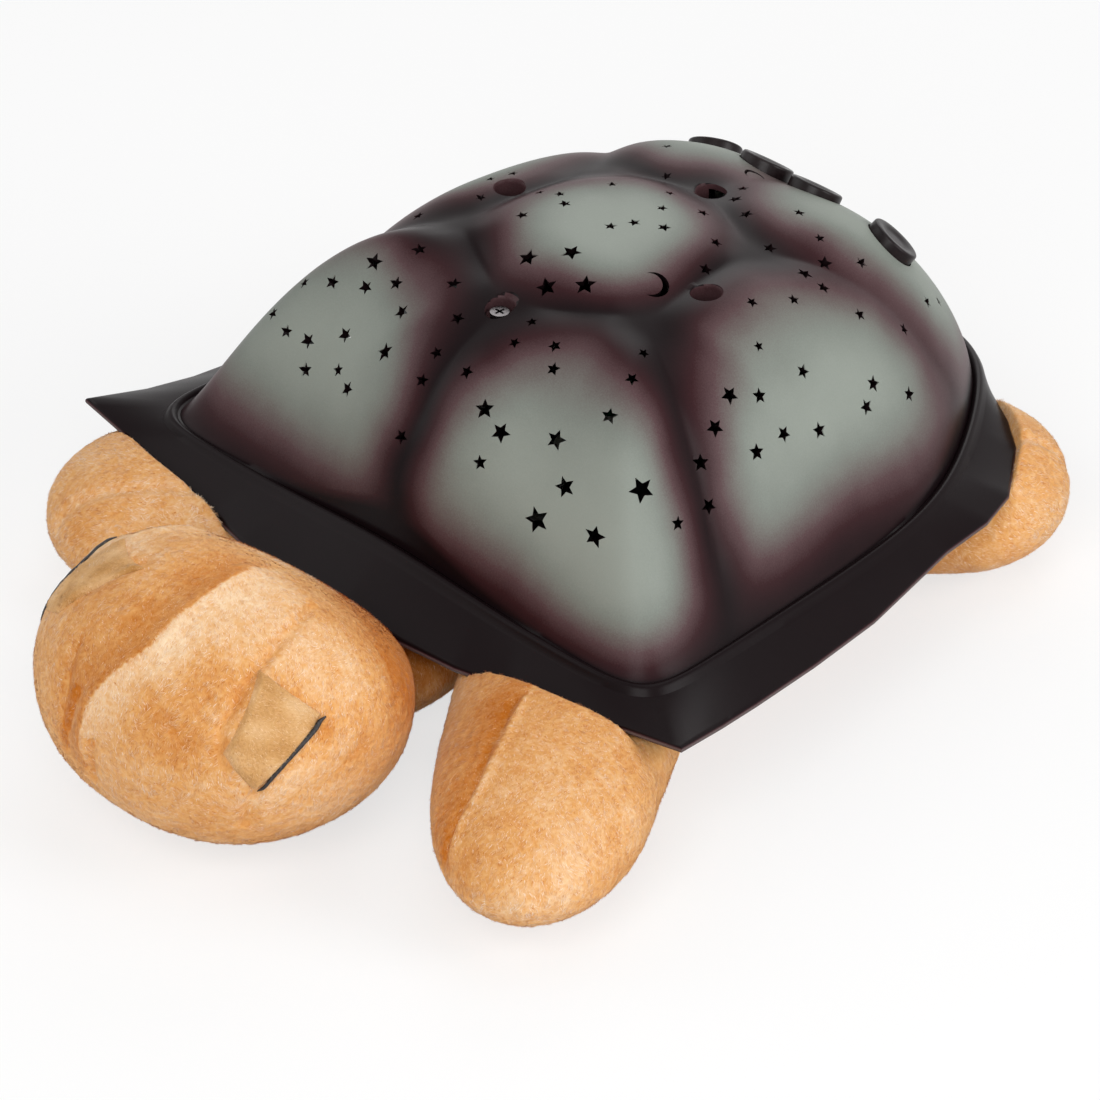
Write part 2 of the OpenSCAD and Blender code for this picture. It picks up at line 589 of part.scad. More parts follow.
module tact_switch() {
  difference() {
    translate([-switch_size / 2, -switch_size / 2, board_seat])
      cube([switch_size, switch_size, switch_h]);
    translate([0, 0, board_seat + 0.4]) cylinder(h = switch_h, d = plunger_d + 0.3, $fn = 28);
  }
}
// Cap, flange and stem turned in one piece, with the switch plunger under the stem
cap_dish = 0.8;
cap_round = 0.7;
module button_form(drop) {
  r = button_d / 2;
  stem_end = switch_top() + plunger_out + drop;
  rotate_extrude($fn = 48) polygon([[0, stem_end], [stem_d / 2, stem_end], [stem_d / 2, -cap_low],
    [flange_d / 2, -cap_low], [flange_d / 2, flange_t - cap_low], [r, flange_t - cap_low],
    [r, button_proud - cap_round], [r - cap_round, button_proud], [r - 1.9, button_proud],
    [r - 2.6, button_proud - cap_dish * 0.6], [r * 0.4, button_proud - cap_dish],
    [0, button_proud - cap_dish]]);
  translate([0, 0, switch_top() + drop - plunger_in])
    cylinder(h = plunger_in + plunger_out, d = plunger_d, $fn = 28);
}
button_colour = [0.13, 0.1, 0.1];
module one_button(site, row, drop) {
  color(button_colour) at_site(site) at_buttons([row], drop) button_form(drop);
}
module bracket_middle() { at_site(middle_site) bracket(pair, pair_drop); }
module bracket_left() { at_site(left_site) bracket([0], 0); }
module bracket_right() { at_site(right_site) bracket([0], 0); }
module switch_board_middle() { at_site(middle_site) switch_board(pair); }
module switch_board_left() { at_site(left_site) switch_board([0]); }
module switch_board_right() { at_site(right_site) switch_board([0]); }
module tact_switches() {
  color([0.15, 0.15, 0.16]) {
    at_site(middle_site) for (y = pair) translate([0, y, 0]) tact_switch();
    at_site(left_site) tact_switch();
    at_site(right_site) tact_switch();
  }
}
module bracket_screws() {
  color(steel) for (s = [middle_site, left_site, right_site]) at_site(s) at_ears()
    translate([0, 0, board_seat - board_t]) rotate([180, 0, 0])
      pan_screw(bracket_screw_d, 13.4, 3.8, 1.4);
}
module button_timer() { one_button(right_site, 0, 0); }
module button_amber() { one_button(middle_site, button_in_x, pair_drop); }
module button_green() { one_button(middle_site, -button_in_x, pair_drop); }
module button_blue() { one_button(left_site, 0, 0); }

// ---- batteries, door and contacts ----
cell_z = box_low + cell_d / 2 + 0.3;
door_screw_in = 9;
function cell_side(i) = i % 2 == 0 ? 1 : -1;
module battery(i) {
  side = cell_side(i);
  start = box_y + side * (-box_in_l / 2 + spring_room);
  tip = 1.6;
  translate([(i - 1) * cell_pitch, start, cell_z]) rotate([-90 * side, 0, 0]) {
    color([0.3, 0.32, 0.35]) cylinder(h = cell_l - tip, d = cell_d, $fn = 40);
    color(steel) translate([0, 0, cell_l - tip]) cylinder(h = tip, d = 5.5, $fn = 28);
  }
}
module battery_1() { battery(0); }
module battery_2() { battery(1); }
module battery_3() { battery(2); }
spring_turns = 3;
spring_steps = 8;
wire_d = 0.8;
module contact_springs() {
  color(steel) for (i = [0 : 2]) let (side = cell_side(i), room = spring_room - 0.6,
      last = spring_turns * spring_steps)
    translate([(i - 1) * cell_pitch, box_y - side * (box_in_l / 2 - 0.3), cell_z])
      rotate([-90 * side, 0, 0])
      tube([for (k = [0 : last]) let (a = 360 * k / spring_steps, r = mix_of(5, 2.6, k / last))
        [r * cos(a), r * sin(a), wire_d / 2 + (room - wire_d) * k / last]], wire_d, 6);
}
plate_t = 0.5;
module contact_plates() {
  color(steel) for (i = [0 : 2]) let (at = cell_side(i) * (box_in_l / 2 - 0.1 - plate_t / 2))
    translate([(i - 1) * cell_pitch - 5, box_y + at - plate_t / 2, cell_z - 5]) cube([10, plate_t, 10]);
}
door_y0 = box_y - box_in_l / 2 + door_gap;
module battery_door() {
  color(tray_colour) difference() {
    union() {
      translate([-box_in_w / 2 + door_gap, door_y0, door_low])
        cube([box_in_w - 2 * door_gap, box_in_l - 2 * door_gap, door_t]);
      translate([-tongue_w / 2, door_y0, door_low])
        cube([tongue_w, box_in_l + box_wall - 2 * door_gap, door_t]);
      translate([-ear_w / 2, door_screw_y, door_low]) cube([ear_w, box_in_l / 2, door_t]);
      translate([0, door_screw_y, door_low]) cylinder(h = door_t, d = ear_w, $fn = 32);
      for (k = [-2 : 2]) translate([-12, box_y + 12 + 3 * k, door_low - 0.8]) cube([24, 1.2, 1]);
    }
    translate([0, door_screw_y, door_low - 2])
      cylinder(h = door_t + 4, d = door_screw_d + 2 * fit_gap, $fn = 28);
  }
}
module door_screw() {
  color(steel) translate([0, door_screw_y, door_low - 0.1]) rotate([180, 0, 0])
    pan_screw(door_screw_d, door_screw_in + door_t, 5.6, 1.8);
}

// ---- leads: round tubes along hand-placed points ----
function tube_ring(path, i, d, sides) = let (n = len(path), a = path[max(0, i - 1)],
    b = path[min(n - 1, i + 1)],
    t = (b - a) / norm(b - a), u = cross(abs(t.z) > 0.8 ? [1, 0, 0] : [0, 0, 1], t),
    v = u / norm(u), w = cross(t, v))
  [for (k = [0 : sides - 1]) path[i] + d / 2 * (v * cos(360 * k / sides) + w * sin(360 * k / sides))];
module tube(path, d, sides) { skin([for (i = [0 : len(path) - 1]) tube_ring(path, i, d, sides)]); }
// A curve through four control points
function bend(p, n) = [for (i = [0 : n]) let (t = i / n, s = 1 - t)
  s * s * s * p[0] + 3 * s * s * t * p[1] + 3 * s * t * t * p[2] + t * t * t * p[3]];
lead_d = 1.4;
lead_sides = 8;
lead_steps = 12;
plug_z = part_z + plug_size.z + 0.3;
module battery_leads() {
  for (k = [0, 1]) color(k == 0 ? "red" : "black") translate([k * 2 - 1, 0, 0])
    tube(bend([[lead_hole.x, lead_hole.y, tray_z - 0.6],
        [lead_hole.x, lead_hole.y, tray_top + 11],
        [battery_plug.x, battery_plug.y, plug_z + 12], [battery_plug.x, battery_plug.y, plug_z]],
      lead_steps), lead_d, lead_sides);
}
// The lamp's leads go round the front post, through the slot of the holder and up to the lamp board
module lamp_leads() {
  low = tray_top + 1.9;
  for (k = [0 : 3]) let (x = (k - 1.5) * 1.7, start = lamp_plug + [x, 0],
      first = bend([[start.x, start.y, plug_z], [start.x + 7, start.y, plug_z + 16],
        [x + 16, -40, low + 1], [x, -19, low]], lead_steps),
      rise = bend([[x, -19, low], [x, -5, low], [x, -1, low + 4], [x, -1, lamp_top - 0.3]], 8))
    color("white") tube(concat(first, [for (i = [1 : 8]) rise[i]]), lead_d, lead_sides);
}
module switch_leads() {
  sites = [middle_site, left_site, right_site];
  starts = [switch_plugs[0] + [1.4, 0], switch_plugs[1], switch_plugs[0] - [1.4, 0]];
  out = [-20, 24, -28];
  for (k = [0 : 2]) let (end = site_place(sites[k], [-5, 0, board_seat - board_t - 0.9]), p = starts[k])
    color("grey") tube(bend([[p.x, p.y, plug_z], [p.x, p.y, plug_z + 24],
      [out[k], 30, end.z - 30], end], lead_steps + 4), lead_d, lead_sides);
}

// ---- plush: simple closed forms of the sewn pieces ----
plush = [0.88, 0.66, 0.4];
body_top = tray_z - seam_gap;
// [height, distance inside the dome's outline]
body_profile = [[0, 34], [1.5, 28], [8, 21], [18, 15], [28, 10], [body_top - 2.5, 8],
  [body_top, 10.5]];
body_steps = 48;
module body_form(grow) {
  last = len(body_profile) - 1;
  skin([for (k = [0 : last]) let (p = body_profile[k], lift = k == last ? grow : k == 0 ? -grow : 0)
    [for (i = [0 : body_steps - 1]) let (a = 360 * i / body_steps, r = rim_r(a) - p[1] + grow)
      [r * cos(a), r * sin(a), p[0] + lift]]]);
}
pocket_y = box_y - 2;
flap_low = 0;
strip_t = 0.8;
flap_edge = 6;
recess_top = flap_low + flap_t + 2 * strip_t + seam_gap;
module plush_body() {
  color(plush) one_mesh() difference() {
    body_form(0);
    translate([-pocket_w / 2, pocket_y - pocket_l / 2, -1]) cube([pocket_w, pocket_l, rim_z]);
    translate([-pocket_w / 2 - flap_edge, pocket_y - pocket_l / 2 - flap_edge, -1])
      cube([pocket_w + 2 * flap_edge, pocket_l + 2 * flap_edge, recess_top + 1]);
  }
}
limb_sides = 20;
limb_lift = 0.2;
// The space the shell needs over the plush: flat under the tray, along the skirt, then straight up
skirt_clear = 1;
function outward(p, by) = p + by * [p.x, p.y, 0] / norm([p.x, p.y]);
module shell_room() {
  skin([[for (a = azimuths) [(rim_r(a) + 1) * cos(a), (rim_r(a) + 1) * sin(a), tray_z - seam_gap]],
    [for (p = edge_points) outward(p, skirt_clear) - [0, 0, shell_wall + seam_gap]],
    [for (p = edge_points) outward(p, skirt_clear) + [0, 0, leg_h]]]);
}
limb_stations = [0, 0.18, 0.34, 0.48, 0.6, 0.71, 0.8, 0.88, 0.94, 0.98, 0.998];
// A limb ends in a round of a given length
function limb_ring(root, tip, half_w, half_h, round_l, t) = let (l = norm(tip - root),
    d = (tip - root) / l, over = max(0, 1 - (1 - t) * l / round_l), g = sqrt(1 - pow(over, 2.3)),
    w = half_w * g * mix_of(0.86, 1, min(1, t / 0.5)), h = half_h * g)
  [for (k = [0 : limb_sides - 1]) let (a = 360 * k / limb_sides,
      p = root + d * l * t + [-d.y, d.x] * w * cos(a)) [p.x, p.y, limb_lift + half_h + h * sin(a)]];
module limb(root, tip, half_w, half_h, round_l) {
  skin([for (t = limb_stations) limb_ring(root, tip, half_w, half_h, round_l, t)]);
}
module sewn_limb(root, tip, half_w, half_h, round_l) {
  color(plush) one_mesh() difference() {
    limb(root, tip, half_w, half_h, round_l);
    body_form(seam_gap);
    shell_room();
  }
}
// Places of the legs: [root, tip, half width, length of the round end]
leg_places = [[[57.5, -63], [leg_side, -leg_reach], leg_w / 2, 66],
  [[-58, -56], [-106, -right_reach], leg_w / 2 + 5, 42],
  [[46, 58], [81, rear_reach], rear_leg_w / 2, 38],
  [[-46, 58], [-81, rear_reach], rear_leg_w / 2, 38]];
module leg(place) { sewn_limb(place[0], place[1], place[2], leg_h / 2, place[3]); }
module leg_front_left() { leg(leg_places[0]); }
module leg_front_right() { leg(leg_places[1]); }
module leg_rear_left() { leg(leg_places[2]); }
module leg_rear_right() { leg(leg_places[3]); }
module tail() { sewn_limb([0, 84], [0, rim_rear - 12 + tail_l], 14, 10, 16); }

head_x = 10;
head_centre = [head_x, -head_y, head_h / 2 + limb_lift];
head_half = [head_w / 2, head_l / 2, head_h / 2];
head_power = 2.05;
// Fuller below its middle, where it rests on the floor
head_low_power = 2.4;
// How far the top of the head comes down towards the neck
head_slope = 0.75;
function head_point(az, el, grow) = let (u = [cos(az) * cos(el), sin(az) * cos(el), sin(el)],
    power = mix_of(head_power, head_low_power, clamp(-1.6 * u.z, 0, 1)),
    k = pow(total([for (i = [0 : 2]) pow(abs(u[i]) / (head_half[i] + grow), power)]), -1 / power),
    back = clamp(u.y * k / head_half.y, 0, 1))
  head_centre + [u.x * k, u.y * k, u.z * k * (u.z > 0 ? 1 - head_slope * pow(back, 1.5) : 1)];
module head_form(grow) {
  skin([for (el = [-84 : 12 : 84]) [for (k = [0 : 27]) head_point(360 * k / 28, el, grow)]]);
}
module head() {
  color(plush) one_mesh() difference() {
    union() {
      head_form(0);
      limb([0, -50], [head_x, 29 - head_y], 30, 17, 40);
    }
    body_form(seam_gap);
    shell_room();
  }
}
// Eye patch: a four-cornered cloth patch on the head, given by [azimuth, elevation] of its corners.
// The head rolls to its left, so the right patch sits higher.
patch_corners = [[[-26.5, 35.5], [-10.5, 18.5], [-33.7, -1], [-42, 10]],
  [[-134, 60], [-171, 43.5], [-146, 16.3], [-134.5, 24.5]]];
// Inward bend of the edge along the lid
patch_bends = [[-1.5, 1.5], [2.5, -0.3]];
patch_t = 1.2;
patch_steps = 6;
function patch_point(side, u, v, grow) = let (c = patch_corners[side],
    q = mix_of(mix_of(c[0], c[1], u), mix_of(c[3], c[2], u), v) + 4 * u * v * (1 - v) * patch_bends[side])
  head_point(q.x, q.y, grow);
function patch_grid(side, grow) = [for (j = [0 : patch_steps]) [for (i = [0 : patch_steps])
  patch_point(side, j / patch_steps, i / patch_steps, grow)]];
module eye_patch(side) {
  outer = patch_grid(side, patch_t + seam_gap);
  inner = patch_grid(side, seam_gap);
  color([0.8, 0.62, 0.4]) plate(side == 0 ? outer : inner, side == 0 ? inner : outer);
}
module eye_patch_left() { eye_patch(0); }
module eye_patch_right() { eye_patch(1); }
// Lid line: [azimuth, elevation] of its ends and of the point that bends it
lid_d = 2;
lid_bends = [[[-9, 17], [-23.5, 10], [-32, -2.5]], [[-173, 41], [-155.5, 28.5], [-147.5, 14]]];
module eyelid(side) {
  b = lid_bends[side];
  path = [for (i = [0 : 10]) let (t = i / 10, q = mix_of(mix_of(b[0], b[1], t), mix_of(b[1], b[2], t), t))
    head_point(q.x, q.y, lid_d / 2 + seam_gap)];
  color([0.12, 0.1, 0.1]) tube(path, lid_d, 8);
}
module eyelid_left() { eyelid(0); }
module eyelid_right() { eyelid(1); }

// ---- belly flap with its hook and loop strips ----
flap_gap = 0.8;
flap_size = [pocket_w + 2 * flap_edge - 2 * flap_gap, pocket_l + 2 * flap_edge - 2 * flap_gap];
module belly_flap() {
  color(plush) translate([-flap_size.x / 2, pocket_y - flap_size.y / 2, flap_low])
    cube([flap_size.x, flap_size.y, flap_t]);
}
module flap_strips() {
  strip_w = flap_edge - 1.6;
  color([0.2, 0.2, 0.2]) {
    for (s = [-1, 1]) translate([s * (flap_size.x / 2 - strip_w / 2 - 0.4) - strip_w / 2,
        pocket_y - pocket_l / 2, flap_low + flap_t])
      cube([strip_w, pocket_l - 8, strip_t]);
    translate([-pocket_w / 2, pocket_y - flap_size.y / 2 + 0.4, flap_low + flap_t])
      cube([pocket_w, strip_w, strip_t]);
  }
}

shell();
lamp_tray();
shell_screws();
lamp_holder();
lamp_board();
led_amber();
led_green();
led_blue();
main_board();
main_board_parts();
board_screws();
bracket_middle();
bracket_left();
bracket_right();
bracket_screws();
switch_board_middle();
switch_board_left();
switch_board_right();
tact_switches();
button_timer();
button_amber();
button_green();
button_blue();
battery_door();
door_screw();
battery_1();
battery_2();
battery_3();
contact_springs();
contact_plates();
battery_leads();
lamp_leads();
switch_leads();
plush_body();
head();
leg_front_left();
leg_front_right();
leg_rear_left();
leg_rear_right();
tail();
eye_patch_left();
eye_patch_right();
eyelid_left();
eyelid_right();
belly_flap();
flap_strips();
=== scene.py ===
"""Looks of a star night light: a pierced hard shell seated in a plush turtle.

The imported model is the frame. The shell, the buttons and every sewn piece get a finer surface here, and
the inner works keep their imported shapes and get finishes. Sizes are in millimetres in this file and
become metres where a mesh is made. The turtle looks along -Y, its left side is +X, the floor is z = 0.
"""

from __future__ import annotations

import sys

import json
import logging
import math
from dataclasses import dataclass, field
from enum import Enum
from typing import Optional, Sequence

import bpy
import numpy as np
from mathutils import Matrix

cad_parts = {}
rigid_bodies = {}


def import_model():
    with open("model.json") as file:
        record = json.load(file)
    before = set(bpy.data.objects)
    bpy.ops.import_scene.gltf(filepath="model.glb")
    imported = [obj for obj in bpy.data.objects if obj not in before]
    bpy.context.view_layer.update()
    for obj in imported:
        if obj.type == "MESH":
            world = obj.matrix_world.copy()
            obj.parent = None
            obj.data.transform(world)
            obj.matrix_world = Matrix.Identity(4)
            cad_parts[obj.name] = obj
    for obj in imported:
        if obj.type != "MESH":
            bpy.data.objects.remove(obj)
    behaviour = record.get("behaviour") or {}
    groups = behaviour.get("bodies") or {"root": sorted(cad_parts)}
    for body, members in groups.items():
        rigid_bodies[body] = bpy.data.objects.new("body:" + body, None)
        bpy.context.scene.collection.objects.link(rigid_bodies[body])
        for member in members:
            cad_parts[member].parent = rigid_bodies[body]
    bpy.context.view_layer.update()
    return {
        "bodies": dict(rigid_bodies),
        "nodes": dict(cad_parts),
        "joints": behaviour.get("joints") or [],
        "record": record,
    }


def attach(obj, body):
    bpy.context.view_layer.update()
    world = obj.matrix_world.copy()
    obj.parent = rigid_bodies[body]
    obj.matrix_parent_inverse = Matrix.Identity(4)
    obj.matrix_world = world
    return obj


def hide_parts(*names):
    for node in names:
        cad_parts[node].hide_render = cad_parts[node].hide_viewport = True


MM = 0.001
BODY = "turtle"
log = logging.getLogger("night_light")

Array = np.ndarray
Object = bpy.types.Object
Tree = bpy.types.NodeTree
Socket = bpy.types.NodeSocket
Pair = tuple[float, float]
Triple = tuple[float, float, float]
Colour = tuple[float, float, float, float]
Surface = tuple[Array, list[list[int]]]

# Halvings in a search for a share: 24 bring it within a ten-millionth.
HALVINGS = 24
# Radius in millimetres at which strokes on the head are measured.
HEAD_MEASURE = 48.0


class Join(Enum):
    """What happens to an object with the volume of a tool."""

    CUT = "DIFFERENCE"
    ADD = "UNION"


# ---------------------------------------------------------------- numbers


def mix(a: Array, b: Array, t: Array) -> Array:
    """The point or number that lies the share t of the way from a to b."""
    return a + (b - a) * t


def smooth(x: Array, low: float, high: float) -> Array:
    """Runs from 0 at low to 1 at high, with flat ends: 3u^2 - 2u^3 of the share u."""
    u = np.clip((np.asarray(x, float) - low) / (high - low), 0, 1)
    return u * u * (3 - 2 * u)


def unit(v: Array) -> Array:
    """Vectors along the last axis brought to length one."""
    return v / np.maximum(np.linalg.norm(v, axis=-1, keepdims=True), 1e-12)


def polar(r: Array, az: Array, z: Array) -> Array:
    """Points at the distance r from the Z axis, in the direction az in degrees, at the height z."""
    a = np.radians(az)
    return np.stack(np.broadcast_arrays(r * np.cos(a), r * np.sin(a), z), -1)


def azimuth(points: Array) -> Array:
    """Directions of points in plan, in degrees."""
    return np.degrees(np.arctan2(points[:, 1], points[:, 0]))


def distance_to_path(points: Array, path: Array) -> Array:
    """Distance from each point to a line of straight stretches.

    The foot on a stretch is where the point's shadow falls on it, held between its two ends, and the
    distance is the least over all stretches.

    Args:
        points: (n, d) points.
        path: (m, d) corners of the line.

    Returns:
        (n,) distances.
    """
    return np.min([foot_on(points, a, b)[0] for a, b in zip(path[:-1], path[1:])], axis=0)


def foot_on(points: Array, a: Array, b: Array) -> tuple[Array, Array]:
    """Distance from each point to the stretch from a to b, and the share of the stretch where it is nearest.

    Args:
        points: (n, d) points.
        a: Start of the stretch.
        b: End of the stretch.

    Returns:
        (n,) distances and (n,) shares.
    """
    d = b - a
    share = np.clip((points - a) @ d / max(d @ d, 1e-12), 0, 1)
    return np.linalg.norm(points - a - share[:, None] * d, axis=1), share


def side_of(points: Array, path: Array) -> Array:
    """On which side of the nearest stretch of a line each point lies: 1 on its left and -1 on its right.

    It is the sign of the cross product of the stretch and the way to the point. For directions on a ball
    it is the sign of the point's part along the cross product of the stretch's two ends.

    Args:
        points: (n, 2) points, or (n, 3) directions.
        path: (m, d) corners of the line.

    Returns:
        (n,) signs.
    """
    ends = list(zip(path[:-1], path[1:]))
    nearest = np.argmin([foot_on(points, a, b)[0] for a, b in ends], axis=0)
    if points.shape[1] == 3:
        sides = [points @ np.cross(a, b) for a, b in ends]
    else:
        sides = [(points - a) @ np.array([a[1] - b[1], b[0] - a[0]]) for a, b in ends]
    return np.sign(np.array(sides)[nearest, np.arange(len(points))])


def ripple(points: Array, wave: float, seed: int, count: int = 7) -> Array:
    """A soft wandering number from about -1 to 1: a sum of sine waves in random directions.

    Args:
        points: (n, 3) points in millimetres.
        wave: Typical wave length in millimetres.
        seed: Starts the random directions, so that each run gives the same.
        count: Number of waves.

    Returns:
        (n,) values.
    """
    rng = np.random.default_rng(seed)
    ways = unit(rng.normal(size=(count, 3)))
    waves = wave * rng.uniform(0.6, 1.7, count)
    starts = rng.uniform(0, 2 * np.pi, count)
    return np.sin(points @ (ways / waves[:, None]).T * 2 * np.pi + starts).sum(1) / math.sqrt(count) / 1.2


# ---------------------------------------------------------------- meshes


def linked(name: str, data: bpy.types.ID) -> Object:
    """Makes an object of a mesh, a lamp or a camera and links it to the scene.

    Args:
        name: Name of the object.
        data: What it shows.

    Returns:
        The object.
    """
    made = bpy.data.objects.new(name, data)
    bpy.context.scene.collection.objects.link(made)
    return made


def make_object(name: str, points: Array, faces: Sequence[Sequence[int]]) -> Object:
    """Makes a smooth-shaded mesh object at the origin from points in millimetres.

    Args:
        name: Name of the piece.
        points: (n, 3) points.
        faces: Corner numbers of each face, running counter-clockwise seen from outside.

    Returns:
        The object, linked to the scene.
    """
    mesh = bpy.data.meshes.new(name)
    mesh.from_pydata((np.asarray(points, float) * MM).tolist(), [], faces)
    mesh.polygons.foreach_set("use_smooth", np.ones(len(mesh.polygons), bool))
    mesh.validate()
    mesh.update()
    return linked(name, mesh)


def read(items: bpy.types.bpy_prop_collection, key: str, width: int = 1, kind: type = np.float32) -> Array:
    """Reads one property of all items of a Blender list.

    Args:
        items: The list, such as a mesh's vertices.
        key: Name of the property.
        width: Numbers that the property has.
        kind: Type of the numbers.

    Returns:
        (n, width) values, or (n,) for a width of one.
    """
    out = np.empty(len(items) * width, kind)
    items.foreach_get(key, out)
    return out.reshape(-1, width) if width > 1 else out


def points_of(obj: Object) -> Array:
    """The object's vertices in millimetres, as an (n, 3) array."""
    return read(obj.data.vertices, "co", 3).astype(float) / MM


def set_points(obj: Object, points: Array) -> None:
    """Writes the object's vertices back from millimetres."""
    obj.data.vertices.foreach_set("co", (points * MM).astype(np.float32).ravel())
    obj.data.update()


def normals_of(obj: Object) -> Array:
    """The object's vertex normals, as an (n, 3) array."""
    return read(obj.data.vertex_normals, "vector", 3).astype(float)


def set_attribute(obj: Object, name: str, values: Array) -> None:
    """Stores one number for each vertex under a name that a finish reads."""
    data = obj.data.attributes.get(name) or obj.data.attributes.new(name, "FLOAT", "POINT")
    data.data.foreach_set("value", np.asarray(values, np.float32))


def grid_faces(n: int) -> Array:
    """Faces of an n by n grid of points that are stored row by row.

    Args:
        n: Points along a side.

    Returns:
        ((n - 1)^2, 4) corner numbers.
    """
    k, i = np.meshgrid(np.arange(n - 1), np.arange(n - 1), indexing="ij")
    a = k * n + i
    return np.stack([a, a + n, a + n + 1, a + 1], -1).reshape(-1, 4)


def skin(rings: Array) -> Surface:
    """Joins rings of one length side to side and closes both ends with a fan.

    A ring runs counter-clockwise about the way in which the rings advance, which turns the faces outwards.

    Args:
        rings: (m, n, 3) points.

    Returns:
        The points and the faces.
    """
    m, n = rings.shape[:2]
    k, i = np.meshgrid(np.arange(m - 1), np.arange(n), indexing="ij")
    j = (i + 1) % n
    quads = np.stack([k * n + i, k * n + j, (k + 1) * n + j, (k + 1) * n + i], -1).reshape(-1, 4)
    i, j = np.arange(n), (np.arange(n) + 1) % n
    first = np.stack([np.full(n, m * n), j, i], -1)
    last = np.stack([np.full(n, m * n + 1), (m - 1) * n + i, (m - 1) * n + j], -1)
    points = np.concatenate([rings.reshape(-1, 3), rings[0].mean(0)[None], rings[-1].mean(0)[None]])
    return points, quads.tolist() + first.tolist() + last.tolist()


def tube(path: Array, radius: Array, sides: int) -> Array:
    """Rings of a round tube: at each point of the path a circle square to the path there.

    Args:
        path: (m, 3) points.
        radius: One radius, or one for each point.
        sides: Corners of a ring.

    Returns:
        (m, sides, 3) rings.
    """
    way = unit(np.gradient(path, axis=0))
    side = unit(np.cross(np.where(np.abs(way[:, 2:]) > 0.8, [[1.0, 0, 0]], [[0, 0, 1.0]]), way))
    up = np.cross(way, side)
    a = np.linspace(0, 2 * np.pi, sides, endpoint=False)[:, None]
    reach = np.broadcast_to(radius, len(path))[:, None, None]
    return path[:, None] + reach * (side[:, None] * np.cos(a) + up[:, None] * np.sin(a))


def joined(parts: Sequence[Surface]) -> Surface:
    """Puts several points-and-faces pairs into one.

    Args:
        parts: Points and faces of each part.

    Returns:
        The points and faces of all parts.
    """
    points, faces, start = [], [], 0
    for p, f in parts:
        points.append(p)
        faces += [[start + c for c in corners] for corners in f]
        start += len(p)
    return np.concatenate(points), faces


def applied(obj: Object) -> Object:
    """Replaces the object's mesh by what its modifiers make of it, and takes the modifiers off.

    Args:
        obj: The object, with its modifiers.

    Returns:
        The same object.
    """
    graph = bpy.context.evaluated_depsgraph_get()
    mesh = bpy.data.meshes.new_from_object(obj.evaluated_get(graph), depsgraph=graph)
    old = obj.data
    obj.modifiers.clear()
    obj.data = mesh
    mesh.name = obj.name
    bpy.data.meshes.remove(old)
    return obj


def removed(obj: Object) -> None:
    """Takes a helper object and its mesh away.

    Args:
        obj: The helper.
    """
    mesh = obj.data
    bpy.data.objects.remove(obj)
    bpy.data.meshes.remove(mesh)


def combined(obj: Object, tool: Object, how: Join = Join.CUT) -> Object:
    """Cuts the tool's volume out of the object or joins it on, and removes the tool.

    Args:
        obj: The object that stays.
        tool: The closed form that is used up.
        how: Whether the tool is cut out or joined on.

    Returns:
        The object.
    """
    work = obj.modifiers.new("work", "BOOLEAN")
    work.operation, work.solver, work.object = how.value, "MANIFOLD", tool
    applied(obj)
    removed(tool)
    return obj


def remeshed(obj: Object, voxel: float) -> Object:
    """Rebuilds a closed solid from even small faces, voxel millimetres wide.

    Args:
        obj: A closed solid.
        voxel: Width of a face in millimetres.

    Returns:
        The object.
    """
    grid = obj.modifiers.new("grid", "REMESH")
    grid.mode, grid.voxel_size, grid.use_smooth_shade = "VOXEL", voxel * MM, True
    return applied(obj)


def refined(obj: Object, levels: int) -> Object:
    """Splits each face into four and rounds the form, once for each level.

    Args:
        obj: The object.
        levels: How often its faces are split.

    Returns:
        The object.
    """
    split = obj.modifiers.new("split", "SUBSURF")
    split.levels = split.render_levels = levels
    return applied(obj)


# ---------------------------------------------------------------- the dome as a formula


